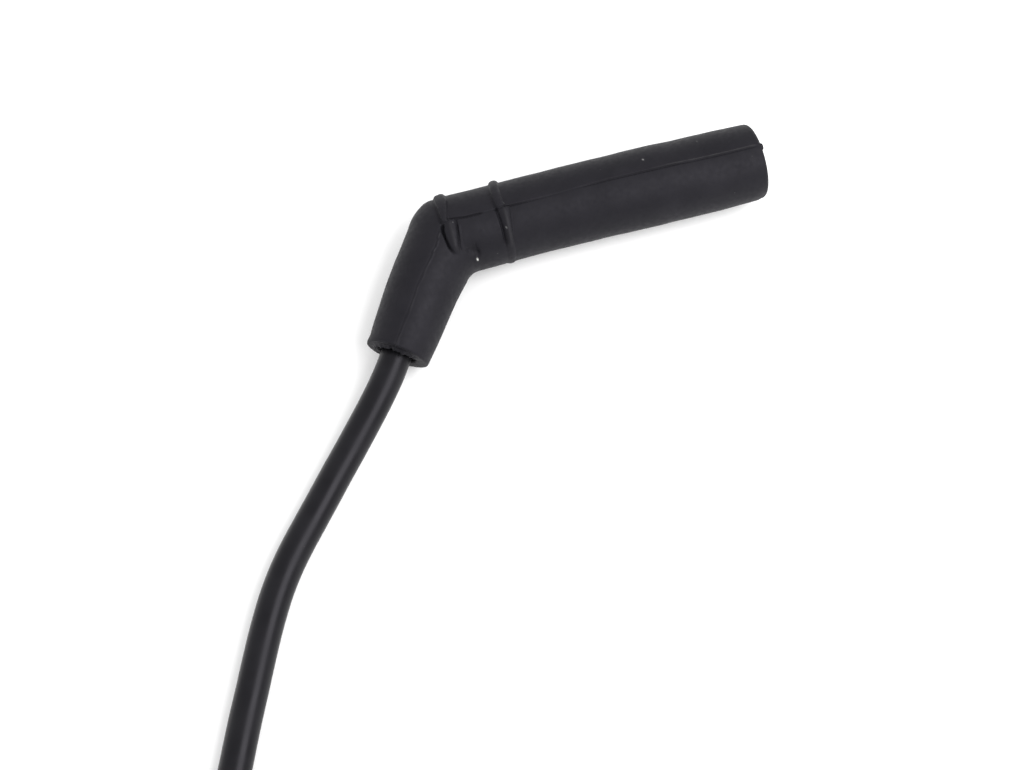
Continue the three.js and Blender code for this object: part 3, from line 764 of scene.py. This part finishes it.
def make_straight_boot(sizes, finishes):
    centre = Vector((0, 0, 0))
    body, skirt = sizes.body_radius, sizes.skirt_radius
    boot = new_rim("cap_boot_moulded", centre, body, RING_SIDES)
    edit(boot)
    rim = Rim(centre, Vector((-1, 0, 0)), body)
    rim.draw_evenly(SIDE_END, body, 5)
    collar_front, collar_rear = sizes.rear_at - COLLAR_FRONT, sizes.rear_at - COLLAR_REAR
    for angle in quarter_turn(COLLAR_STEPS):
        rise = (skirt - body) * math.sin(angle)
        rim.draw_to(collar_front + COLLAR_ROUND * (1 - math.cos(angle)), body + rise)
    rim.draw_to((collar_front + collar_rear) / 2, skirt)
    for angle in quarter_turn(COLLAR_STEPS):
        rise = (skirt - body) * math.cos(angle)
        rim.draw_to(collar_rear - COLLAR_ROUND * (1 - math.sin(angle)), body + rise)
    rim.round_to(sizes.rear_at, REAR_RADIUS, LEAD_END_ROUND)
    rim.draw_to(sizes.rear_at, HOLE_EDGE, HOLE_RISE)

    select_rim_at(boot, 0)
    rim = Rim(centre, Vector((1, 0, 0)), body)
    skirt_start = sizes.mouth_at - sizes.skirt_length
    rim.draw_evenly(skirt_start, body, 8)
    for step in range(1, FLARE_STEPS + 1):
        part = step / FLARE_STEPS
        rim.draw_to(skirt_start + FLARE_LENGTH * part, body + (skirt - body) * smooth(0, 1, part))
    rim.draw_evenly(sizes.mouth_at - SKIRT_SIDE_END, skirt, 6)
    rim.round_to(sizes.mouth_at, skirt, CAP_MOUTH_ROUND, CAP_MOUTH_STEPS)
    rim.turn_back()
    bore_inside(rim, sizes.mouth_at, CAP_SOCKET_REAR)
    rim.along = CLEARANCE - CAP_SOCKET_REAR
    crimp_pocket(rim, CAP_CRIMP_REAR, sizes.rear_at)
    close_and_smooth(boot)
    mould_straight_boot(boot)
    place_piece(boot, Matrix.Identity(4), STRAIGHT)
    boot.data.materials.append(moulded_rubber(finishes))
    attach(boot, BODY)
    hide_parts("cap_boot")


def mould_straight_boot(obj):
    """Presses the seam of the mould into the straight boot, above and below."""
    co = points_of(obj.data)
    angle = np.arctan2(co[:, 2], co[:, 1])
    radius = np.hypot(co[:, 1], co[:, 2])
    around = (np.abs(angle) - math.pi / 2) * radius / MM
    ridge = np.where(radius > TRIMMED_RADIUS * MM, 0, 0.1)
    rise = ridge * hump(around, 0, 0.16) - 0.08 * hump(around, 0.34, 0.15)
    rise = np.where(radius > SKIN_RADIUS * MM, rise, 0) * MM
    co[:, 1] += rise * np.cos(angle)
    co[:, 2] += rise * np.sin(angle)
    put_points(obj.data, co)


# Lead

# The lead's route, in millimetres: its distances along the plug boot's lead arm, then points from
# the elbow with their height above where the lead rests, points from the coil's centre, and its
# distances behind the straight boot's reference
LEAD_HOLE_AT = 29.5
IN_PLUG_BOOT = (11, 20.25, LEAD_HOLE_AT)
LEAD_ROUTE = [
    (-19.9, -28.7, 3.2), (-23.7, -33.3, 2.3), (-27.7, -37.7, 1.3), (-31.7, -42.1, 0.6),
    (-35.7, -46.5, 0.2), (-39.6, -51, 0.08), (-43.6, -55.6, 0.02), (-47.4, -60, 0),
    (-50.9, -64.5, 0), (-53.9, -69.1, 0), (-56.5, -73.8, 0), (-58.8, -78.4, 0), (-61, -83.1, 0),
    (-63.1, -87.7, 0), (-65.2, -92.2, 0), (-67.3, -96.9, 0), (-69.7, -102.4, 0), (-74, -112, 0),
    (-78.4, -121.8, 0.1), (-82.9, -131.8, 0.4),
]
TAIL_ROUTE = [
    (6, -38.5, 11.2), (13, -38.4, 11.9), (20, -38.2, 12.3), (27, -37.9, 11.9), (34, -37.7, 11),
    (40, -37.6, 10.3),
]
IN_STRAIGHT_BOOT = (20, 13.5, 7)
SAMPLE_STEP = 2 * MM

# The coil, in millimetres and in degrees gone round: the second turn steps inwards, and the third
# climbs into the groove between the two and rides over the step
TURN_RADIUS = 42
TURN_HEIGHT = 4.6
LEAD_GAUGE = 7
GROOVE_RISE = 6.06
COIL_START = 155.8
COIL_END = 988
DEGREES_APART = 11.9
STEP_INWARDS = (430, 516)
CLIMB = (730, 790)
CLIMB_ANGLE = 60
ONTO_STEP = (790, 815)
OFF_STEP = (876, 851)


def coil_point(degrees):
    """Radius and height of the lead in the coil, by the angle that it has gone round."""
    if degrees <= CLIMB[0]:
        return TURN_RADIUS - LEAD_GAUGE * smooth(*STEP_INWARDS, degrees), TURN_HEIGHT
    if degrees <= CLIMB[1]:
        climb = math.radians(CLIMB_ANGLE * smooth(*CLIMB, degrees))
        return TURN_RADIUS - LEAD_GAUGE * math.cos(climb), TURN_HEIGHT + LEAD_GAUGE * math.sin(climb)
    over = smooth(*ONTO_STEP, degrees) * smooth(*OFF_STEP, degrees)
    return TURN_RADIUS - LEAD_GAUGE / 2, TURN_HEIGHT + GROOVE_RISE + (LEAD_GAUGE - GROOVE_RISE) * over


def lead_arm_point(along):
    """The point on the lead arm's axis that lies so many millimetres from the elbow."""
    return ELBOW + Matrix.Rotation(LIE_ANGLE, 3, "X") @ LEAD_DIRECTION * along * MM


def lead_points():
    """Every point that the lead's axis goes through, in the frame."""
    points = [lead_arm_point(along) for along in IN_PLUG_BOOT]
    for x, y, lift in LEAD_ROUTE:
        points.append(ELBOW_ON_FLOOR + Vector((x, y, LEAD_GAUGE / 2 + lift)) * MM)
    degrees = COIL_START
    while degrees < COIL_END:
        radius, height = coil_point(degrees)
        angle = math.radians(degrees)
        around = Vector((radius * math.cos(angle), radius * math.sin(angle), height))
        points.append(COIL_CENTRE + around * MM)
        degrees += DEGREES_APART
    points += [COIL_CENTRE + Vector(point) * MM for point in TAIL_ROUTE]
    points += [STRAIGHT - Vector((along, 0, 0)) * MM for along in IN_STRAIGHT_BOOT]
    return points


def smooth_through(points, step):
    """Centripetal spline through the points, sampled about every step."""
    padded = [2 * points[0] - points[1], *points, 2 * points[-1] - points[-2]]
    samples = []
    for a, b, c, d in zip(padded, padded[1:], padded[2:], padded[3:]):
        ta = (b - a).length ** 0.5
        tb = (c - b).length ** 0.5
        tc = (d - c).length ** 0.5
        out_b = ((b - a) / ta - (c - a) / (ta + tb) + (c - b) / tb) * tb
        out_c = ((c - b) / tb - (d - b) / (tb + tc) + (d - c) / tc) * tb
        count = max(1, round((c - b).length / step))
        for i in range(count):
            t = i / count
            samples.append(
                b * (2 * t ** 3 - 3 * t ** 2 + 1)
                + out_b * (t ** 3 - 2 * t ** 2 + t)
                + c * (3 * t ** 2 - 2 * t ** 3)
                + out_c * (t ** 3 - t ** 2)
            )
    samples.append(points[-1])
    return samples


def link_object(name, data):
    obj = bpy.data.objects.new(name, data)
    bpy.context.scene.collection.objects.link(obj)
    return obj


def make_lead(sizes, finishes):
    path = smooth_through(lead_points(), SAMPLE_STEP)
    curve = bpy.data.curves.new("ignition_lead", "CURVE")
    curve.dimensions = "3D"
    curve.bevel_depth = sizes.diameter / 2
    curve.bevel_resolution = 9
    curve.use_fill_caps = True
    spline = curve.splines.new("POLY")
    spline.points.add(len(path) - 1)
    for point, place in zip(spline.points, path):
        point.co = (*place, 1)
    spline.use_smooth = True
    lead = link_object("ignition_lead", curve)
    curve.materials.append(lead_jacket(finishes))
    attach(lead, BODY)
    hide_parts("lead", "lead_coil", "lead_tail")


# Ties round the coil, in millimetres

STRAP_SIDES = 56
STRAP_STRIPS = 4
STRAP_BEVEL = 0.18
STRAP_CLEARANCE = 0.05
HEAD_HALF = 2.5
HEAD_DEPTH = 3.6
HEAD_OVERLAP = 0.3
HEAD_BEVEL = 0.5
SLOT_MARGIN = 0.75
SLOT_DEPTH = 1.6
TAIL_HALF = 1.9
TAIL_BEVEL = 0.15
UP_FACING = 0.99


def strap_outline(circles, margin):
    """Outline round circles of the lead, as a strap pulled tight lies: distance out and height."""
    outline = []
    for side in range(STRAP_SIDES):
        angle = 2 * math.pi * side / STRAP_SIDES
        way = Vector((math.cos(angle), math.sin(angle)))
        furthest = max(circles, key=lambda at: Vector(at).dot(way))
        outline.append(Vector(furthest) + way * (LEAD_GAUGE / 2 + margin))
    return outline


def make_tie(name, degrees, circles, sizes, finishes, node):
    thickness = sizes.tie_thickness / MM
    width = sizes.tie_width
    outline = strap_outline(circles, STRAP_CLEARANCE + thickness)
    circle = bpy.ops.mesh.primitive_circle_add
    strap = add_primitive(name, circle, vertices=STRAP_SIDES, radius=MM, rotation=(math.pi / 2, 0, 0))
    for vertex, (out, up) in zip(strap.data.vertices, outline):
        vertex.co = Vector((out * MM, -width / 2, up * MM))
    edit(strap)
    for _ in range(STRAP_STRIPS):
        move = (0, width / STRAP_STRIPS, 0)
        bpy.ops.mesh.extrude_region_move(TRANSFORM_OT_translate={"value": move})
    bpy.ops.mesh.select_all(action="SELECT")
    bpy.ops.mesh.normals_make_consistent(inside=False)
    leave_edit()
    solidify = strap.modifiers.new("thickness", "SOLIDIFY")
    solidify.thickness = sizes.tie_thickness
    solidify.offset = -1
    bpy.ops.object.modifier_apply(modifier="thickness")
    bevel = strap.modifiers.new("edges", "BEVEL")
    bevel.width = STRAP_BEVEL * MM
    bevel.segments = 2
    bevel.limit_method = "ANGLE"
    bpy.ops.object.modifier_apply(modifier="edges")
    inside = min(out for out, _ in circles) - LEAD_GAUGE / 2 - STRAP_CLEARANCE - thickness
    height = circles[0][1]
    join_to(strap, make_tie_head(inside, height), make_tie_tail(inside, height))
    bpy.ops.object.shade_smooth_by_angle(angle=math.radians(35))
    place_piece(strap, Matrix.Rotation(math.radians(degrees), 4, "Z"), COIL_CENTRE)
    strap.data.materials.append(tie_nylon(finishes))
    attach(strap, BODY)
    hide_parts(node)


def bevelled_box(name, low, high, bevel_width, segments=3):
    """A box between two corners, in millimetres, with rounded edges."""
    low, high = Vector(low) * MM, Vector(high) * MM
    cube = bpy.ops.mesh.primitive_cube_add
    box = add_primitive(name, cube, size=1, location=(low + high) / 2, scale=high - low)
    edit(box)
    bpy.ops.mesh.bevel(offset=bevel_width * MM, segments=segments, affect="EDGES")
    leave_edit()
    return box


def make_tie_head(inside, height):
    """The tie's head: a rounded block with the strap's slot and its catch."""
    low = (inside - HEAD_DEPTH, -HEAD_HALF, height - HEAD_HALF)
    high = (inside + HEAD_OVERLAP, HEAD_HALF, height + HEAD_HALF)
    head = bevelled_box("head", low, high, HEAD_BEVEL)
    edit(head)
    bpy.ops.mesh.select_mode(type="FACE")
    bpy.ops.mesh.select_all(action="DESELECT")
    leave_edit()
    for polygon in head.data.polygons:
        polygon.select = polygon.normal.z > UP_FACING
    bpy.ops.object.mode_set(mode="EDIT")
    bpy.ops.mesh.inset(thickness=SLOT_MARGIN * MM)
    bpy.ops.mesh.extrude_region_move(TRANSFORM_OT_translate={"value": (0, 0, -SLOT_DEPTH * MM)})
    leave_edit()
    return head


def make_tie_tail(inside, height):
    """The strap's cut end, which stands a little out of the head."""
    low = (inside - 2.2, -TAIL_HALF, height - 1)
    high = (inside - 1.2, TAIL_HALF, height + 3.3)
    return bevelled_box("tail", low, high, TAIL_BEVEL, 2)


# Materials


class Nodes:
    """A material's node tree, with short calls for the nodes that the finishes share."""

    def __init__(self, name):
        self.material = bpy.data.materials.new(name)
        self.material.use_nodes = True
        self.tree = self.material.node_tree
        self.shader = self.tree.nodes["Principled BSDF"]

    def add(self, kind, **values):
        node = self.tree.nodes.new(kind)
        for key, value in values.items():
            if key in node.inputs:
                node.inputs[key].default_value = value
            else:
                setattr(node, key, value)
        return node

    def link(self, source, target):
        self.tree.links.new(source, target)

    def feed(self, socket, source):
        """Links a value or colour to one of the shader's sockets."""
        self.link(source, self.shader.inputs[socket])

    def coordinates(self, scale=(1, 1, 1)):
        place = self.add("ShaderNodeTexCoord")
        mapping = self.add("ShaderNodeMapping", Scale=scale)
        self.link(place.outputs["Object"], mapping.inputs["Vector"])
        return mapping.outputs["Vector"]

    def noise(self, vector, scale, detail=3, roughness=0.5):
        noise = self.add("ShaderNodeTexNoise", Scale=scale, Detail=detail, Roughness=roughness)
        self.link(vector, noise.inputs["Vector"])
        return noise.outputs["Fac"]

    def ramp(self, value, *stops):
        ramp = self.add("ShaderNodeValToRGB")
        elements = ramp.color_ramp.elements
        while len(elements) < len(stops):
            elements.new(0.5)
        for element, (position, tone) in zip(elements, stops):
            element.position = position
            element.color = tone
        self.link(value, ramp.inputs["Fac"])
        return ramp.outputs["Color"]

    def spread(self, value, low, high):
        """Maps a noise's usual range to the range from low to high."""
        ends = {"From Min": 0.3, "From Max": 0.7, "To Min": low, "To Max": high}
        spread = self.add("ShaderNodeMapRange", **ends)
        self.link(value, spread.inputs["Value"])
        return spread.outputs["Result"]

    def mix(self, part, first, second):
        """Mixes a linked colour with a fixed one."""
        mix = self.add("ShaderNodeMix", data_type="RGBA")
        self.link(part, mix.inputs["Factor"])
        self.link(first, mix.inputs["A"])
        mix.inputs["B"].default_value = second
        return mix.outputs["Result"]

    def specks(self, vector, scale, reach):
        """1 inside small scattered specks, and 0 elsewhere."""
        cells = self.add("ShaderNodeTexVoronoi", Scale=scale, Randomness=1)
        self.link(vector, cells.inputs["Vector"])
        near = self.add("ShaderNodeMath", operation="LESS_THAN")
        self.link(cells.outputs["Distance"], near.inputs[0])
        near.inputs[1].default_value = reach
        return near.outputs["Value"]

    def bump(self, height, distance, strength=1, below=None):
        bump = self.add("ShaderNodeBump", Strength=strength, Distance=distance)
        self.link(height, bump.inputs["Height"])
        if below:
            self.link(below, bump.inputs["Normal"])
        return bump.outputs["Normal"]


DUST = (0.045, 0.045, 0.047, 1)
# Pale colour of the grains of dust, also used for the painted glint and the painted highlight along the
# ridges
PALE_GRAIN_AND_HIGHLIGHT = (0.6, 0.6, 0.58, 1)
SOFT_SHEEN_TINT = (0.93, 0.9, 1, 1)


def mixed(first, second, part):
    return tuple(a + (b - a) * part for a, b in zip(first, second))


def moulded_rubber(finishes):
    made = bpy.data.materials.get("moulded rubber")
    if made:
        return made
    nodes = Nodes("moulded rubber")
    space = nodes.coordinates()
    cloud = nodes.noise(space, 130, 4, 0.55)
    grain = nodes.noise(space, 2600, 3, 0.6)
    pits = nodes.noise(space, 900, 2, 0.5)
    tone = nodes.ramp(cloud, (0.3, tuple(finishes.boot)), (0.72, tuple(finishes.boot_worn)))
    surface_colour = nodes.mix(nodes.specks(space, 260, 0.028), tone, DUST)
    # Mixes in the pale grains of dust, a painted glint and the painted highlight along the seam's ridge and
    # the ribs' crests
    pale = nodes.add("ShaderNodeAttribute", attribute_name="pale")
    surface_colour = nodes.mix(pale.outputs["Fac"], surface_colour, PALE_GRAIN_AND_HIGHLIGHT)
    nodes.feed("Base Color", surface_colour)
    rough = nodes.spread(pits, finishes.boot_roughness - 0.05, finishes.boot_roughness + 0.07)
    nodes.feed("Roughness", rough)
    relief = nodes.bump(pits, 0.00006, 0.35)
    relief = nodes.bump(grain, 0.00003, 0.5, relief)
    nodes.feed("Normal", relief)
    nodes.shader.inputs["Specular IOR Level"].default_value = 0.155
    nodes.shader.inputs["Specular Tint"].default_value = SOFT_SHEEN_TINT
    return nodes.material


def lead_jacket(finishes):
    nodes = Nodes("lead jacket")
    space = nodes.coordinates()
    cloud = nodes.noise(space, 160, 3, 0.5)
    grain = nodes.noise(space, 1800, 2, 0.5)
    base = tuple(finishes.jacket)
    dark, light = mixed(base, (0, 0, 0, 1), 0.15), mixed(base, (0.1, 0.1, 0.11, 1), 0.03)
    tone = nodes.ramp(cloud, (0.3, dark), (0.7, light))
    surface_colour = nodes.mix(nodes.specks(space, 300, 0.02), tone, DUST)
    nodes.feed("Base Color", surface_colour)
    rough = nodes.spread(cloud, finishes.jacket_roughness - 0.04, finishes.jacket_roughness + 0.05)
    nodes.feed("Roughness", rough)
    nodes.feed("Normal", nodes.bump(grain, 0.00002, 0.3))
    nodes.shader.inputs["Specular IOR Level"].default_value = 0.19
    nodes.shader.inputs["Specular Tint"].default_value = SOFT_SHEEN_TINT
    return nodes.material


def plated_steel(finishes):
    nodes = Nodes("plated steel")
    space = nodes.coordinates()
    cloud = nodes.noise(space, 220, 4, 0.6)
    scratch = nodes.noise(nodes.coordinates((300, 3000, 3000)), 1, 3, 0.6)
    base = tuple(finishes.plated)
    tone = nodes.ramp(cloud, (0.3, mixed(base, (0.3, 0.25, 0.15, 1), 0.25)), (0.7, base))
    nodes.feed("Base Color", tone)
    nodes.feed("Roughness", nodes.spread(cloud, 0.28, 0.46))
    nodes.feed("Normal", nodes.bump(scratch, 0.00002, 0.25))
    nodes.shader.inputs["Metallic"].default_value = 1
    return nodes.material


def spring_wire(finishes):
    nodes = Nodes("spring wire")
    cloud = nodes.noise(nodes.coordinates(), 700, 3, 0.5)
    base = tuple(finishes.spring)
    tone = nodes.ramp(cloud, (0.35, mixed(base, (0.2, 0.2, 0.2, 1), 0.2)), (0.7, base))
    nodes.feed("Base Color", tone)
    nodes.feed("Roughness", nodes.spread(cloud, 0.18, 0.3))
    nodes.shader.inputs["Metallic"].default_value = 1
    return nodes.material


def conductor_core(finishes):
    nodes = Nodes("conductor core")
    weave = nodes.noise(nodes.coordinates(), 3200, 3, 0.6)
    base = tuple(finishes.core)
    dark, light = mixed(base, (0, 0, 0, 1), 0.4), mixed(base, (0.3, 0.29, 0.27, 1), 0.2)
    tone = nodes.ramp(weave, (0.35, dark), (0.7, light))
    nodes.feed("Base Color", tone)
    nodes.feed("Normal", nodes.bump(weave, 0.00004, 0.6))
    nodes.shader.inputs["Roughness"].default_value = 0.7
    return nodes.material


def tie_nylon(finishes):
    made = bpy.data.materials.get("tie nylon")
    if made:
        return made
    nodes = Nodes("tie nylon")
    cloud = nodes.noise(nodes.coordinates(), 500, 3, 0.5)
    base = tuple(finishes.nylon)
    tone = nodes.ramp(cloud, (0.3, base), (0.7, mixed(base, (0.1, 0.1, 0.1, 1), 0.15)))
    nodes.feed("Base Color", tone)
    nodes.feed("Roughness", nodes.spread(cloud, 0.34, 0.46))
    nodes.feed("Normal", nodes.bump(cloud, 0.00002, 0.3))
    return nodes.material


def pale_floor(finishes):
    nodes = Nodes("pale floor")
    cloud = nodes.noise(nodes.coordinates(), 6, 2, 0.4)
    base = tuple(finishes.floor)
    tone = nodes.ramp(cloud, (0.3, base), (0.7, mixed(base, (1, 1, 1, 1), 0.2)))
    nodes.feed("Base Color", tone)
    nodes.shader.inputs["Roughness"].default_value = 0.9
    nodes.shader.inputs["Specular IOR Level"].default_value = 0.1
    return nodes.material


def finish_node(name, material):
    """Gives a carried-over node of the frame its material."""
    obj = frame["nodes"][name]
    obj.data.materials.clear()
    obj.data.materials.append(material)


# Stage

# Camera and its target, in millimetres from the elbow's place on the floor
CAMERA_PLACE = (-25.594, -156.6, 345.38)
CAMERA_TARGET = (6.725, -35.112, 0)
CAMERA_LENS = 57.66
LIGHT_TARGET = ELBOW + Vector((0, -0.03, 0))
LIGHT_WAY = Vector((0.52, -0.3, 0.8))
LIGHT_DISTANCE = 0.6
LIGHT_SIDE = 0.42
LIGHT_POWER = 2.9
STUDIO_STRENGTH = 1.2
FLOOR_SIDE = 6
FLOOR_GAP = 0.05 * MM


def aim(obj, place, target):
    obj.location = place
    obj.rotation_euler = (target - place).to_track_quat("-Z", "Y").to_euler()


def make_camera():
    data = bpy.data.cameras.new("camera")
    data.lens = CAMERA_LENS
    data.sensor_width = 36
    data.sensor_fit = "HORIZONTAL"
    data.clip_start = 0.01
    camera = link_object("camera", data)
    place, target = (ELBOW_ON_FLOOR + Vector(point) * MM for point in (CAMERA_PLACE, CAMERA_TARGET))
    aim(camera, place, target)
    bpy.context.scene.camera = camera


def make_key_light():
    data = bpy.data.lights.new("key", "AREA")
    data.shape = "RECTANGLE"
    data.size = data.size_y = LIGHT_SIDE
    data.energy = LIGHT_POWER
    aim(link_object("key", data), LIGHT_TARGET + LIGHT_DISTANCE * LIGHT_WAY, LIGHT_TARGET)


def make_stage(finishes):
    plane = bpy.ops.mesh.primitive_plane_add
    floor = add_primitive("floor", plane, size=FLOOR_SIDE, location=(0, 0, -FLOOR_GAP))
    floor.data.materials.append(pale_floor(finishes))
    make_key_light()
    world = bpy.data.worlds.new("studio")
    world.use_nodes = True
    background = world.node_tree.nodes["Background"]
    background.inputs["Color"].default_value = (1, 1, 1, 1)
    background.inputs["Strength"].default_value = STUDIO_STRENGTH
    bpy.context.scene.world = world
    bpy.context.scene.view_settings.view_transform = "Standard"


# Operators


class PLUGWIRE_OT_camera(bpy.types.Operator):
    """Place the camera at the photograph's angle"""

    bl_idname = "plugwire.camera"
    bl_label = "Camera"

    def execute(self, context):
        make_camera()
        return {"FINISHED"}


class PLUGWIRE_OT_lead(bpy.types.Operator):
    """Lay the ignition lead from boot to boot, with its spare length coiled"""

    bl_idname = "plugwire.lead"
    bl_label = "Ignition Lead"

    def execute(self, context):
        make_lead(context.scene.plugwire_lead, context.scene.plugwire_finishes)
        return {"FINISHED"}


class PLUGWIRE_OT_plug_boot(bpy.types.Operator):
    """Model the moulded elbow boot"""

    bl_idname = "plugwire.plug_boot"
    bl_label = "Plug Boot"

    def execute(self, context):
        make_plug_boot(context.scene.plugwire_plug_boot, context.scene.plugwire_finishes)
        return {"FINISHED"}


class PLUGWIRE_OT_straight_boot(bpy.types.Operator):
    """Model the straight boot on the lead's other end"""

    bl_idname = "plugwire.straight_boot"
    bl_label = "Straight Boot"

    def execute(self, context):
        make_straight_boot(context.scene.plugwire_straight_boot, context.scene.plugwire_finishes)
        return {"FINISHED"}


class PLUGWIRE_OT_terminals(bpy.types.Operator):
    """Finish the terminals, their wire clips and the bared cores"""

    bl_idname = "plugwire.terminals"
    bl_label = "Terminals"

    def execute(self, context):
        finishes = context.scene.plugwire_finishes
        steel, wire, core = plated_steel(finishes), spring_wire(finishes), conductor_core(finishes)
        for end in ("plug", "cap"):
            finish_node(f"{end}_terminal", steel)
            finish_node(f"{end}_terminal_clip", wire)
            finish_node(f"{end}_core_end", core)
        return {"FINISHED"}


class PLUGWIRE_OT_ties(bpy.types.Operator):
    """Fasten the coil with its ties"""

    bl_idname = "plugwire.ties"
    bl_label = "Coil Ties"

    def execute(self, context):
        sizes, finishes = context.scene.plugwire_lead, context.scene.plugwire_finishes
        # A tie goes round the turns that pass its angle, the innermost first
        pair = [coil_point(735), coil_point(375)]
        make_tie("coil_tie_1_strap", 15, pair, sizes, finishes, "coil_tie_1")
        three = [coil_point(555), coil_point(915), coil_point(195)]
        make_tie("coil_tie_2_strap", 195, three, sizes, finishes, "coil_tie_2")
        return {"FINISHED"}


class PLUGWIRE_OT_declare_cord(bpy.types.Operator):
    """Gathers the pieces on the lead's far end into a list, which is not used"""

    bl_idname = "plugwire.declare_cord"
    bl_label = "State the Lead"

    def execute(self, context):
        objects = bpy.data.objects
        names = ("cap_boot_moulded", "coil_tie_1_strap", "coil_tie_2_strap")
        far_pieces = [objects[name] for name in names]
        names = ("cap_terminal", "cap_terminal_clip", "cap_core_end")
        far_pieces += [frame["nodes"][name] for name in names]
        return {"FINISHED"}


class PLUGWIRE_OT_stage(bpy.types.Operator):
    """Lay the pale floor and set the soft studio light"""

    bl_idname = "plugwire.stage"
    bl_label = "Stage"

    def execute(self, context):
        make_stage(context.scene.plugwire_finishes)
        return {"FINISHED"}


class PLUGWIRE_PT_panel(bpy.types.Panel):
    """Lists the wire's sizes, colours and pieces"""

    bl_idname = "PLUGWIRE_PT_panel"
    bl_label = "Spark Plug Wire"
    bl_space_type = "VIEW_3D"
    bl_region_type = "UI"
    bl_category = "Plug Wire"

    def draw(self, context):
        layout = self.layout
        for name in PROPERTY_GROUPS:
            group = getattr(context.scene, name)
            box = layout.box()
            for field in group.bl_rna.properties:
                if not field.is_readonly and field.identifier != "name":
                    box.prop(group, field.identifier)
        for operator in OPERATORS:
            layout.operator(operator.bl_idname)


PROPERTY_GROUPS = {
    "plugwire_plug_boot": PlugBootSizes,
    "plugwire_straight_boot": StraightBootSizes,
    "plugwire_lead": LeadSizes,
    "plugwire_finishes": Finishes,
}
OPERATORS = [
    PLUGWIRE_OT_camera,
    PLUGWIRE_OT_lead,
    PLUGWIRE_OT_plug_boot,
    PLUGWIRE_OT_straight_boot,
    PLUGWIRE_OT_terminals,
    PLUGWIRE_OT_ties,
    PLUGWIRE_OT_declare_cord,
    PLUGWIRE_OT_stage,
]


def register():
    for group in PROPERTY_GROUPS.values():
        bpy.utils.register_class(group)
    for operator in OPERATORS:
        bpy.utils.register_class(operator)
    bpy.utils.register_class(PLUGWIRE_PT_panel)
    for name, group in PROPERTY_GROUPS.items():
        setattr(bpy.types.Scene, name, bpy.props.PointerProperty(type=group))


def unregister():
    for name in PROPERTY_GROUPS:
        delattr(bpy.types.Scene, name)
    bpy.utils.unregister_class(PLUGWIRE_PT_panel)
    for operator in reversed(OPERATORS):
        bpy.utils.unregister_class(operator)
    for group in reversed(list(PROPERTY_GROUPS.values())):
        bpy.utils.unregister_class(group)


def main():
    register()
    bpy.ops.plugwire.camera()
    bpy.ops.plugwire.lead()
    bpy.ops.plugwire.plug_boot()
    bpy.ops.plugwire.straight_boot()
    bpy.ops.plugwire.terminals()
    bpy.ops.plugwire.ties()
    bpy.ops.plugwire.declare_cord()
    bpy.ops.plugwire.stage()


if __name__ == "__main__":
    main()
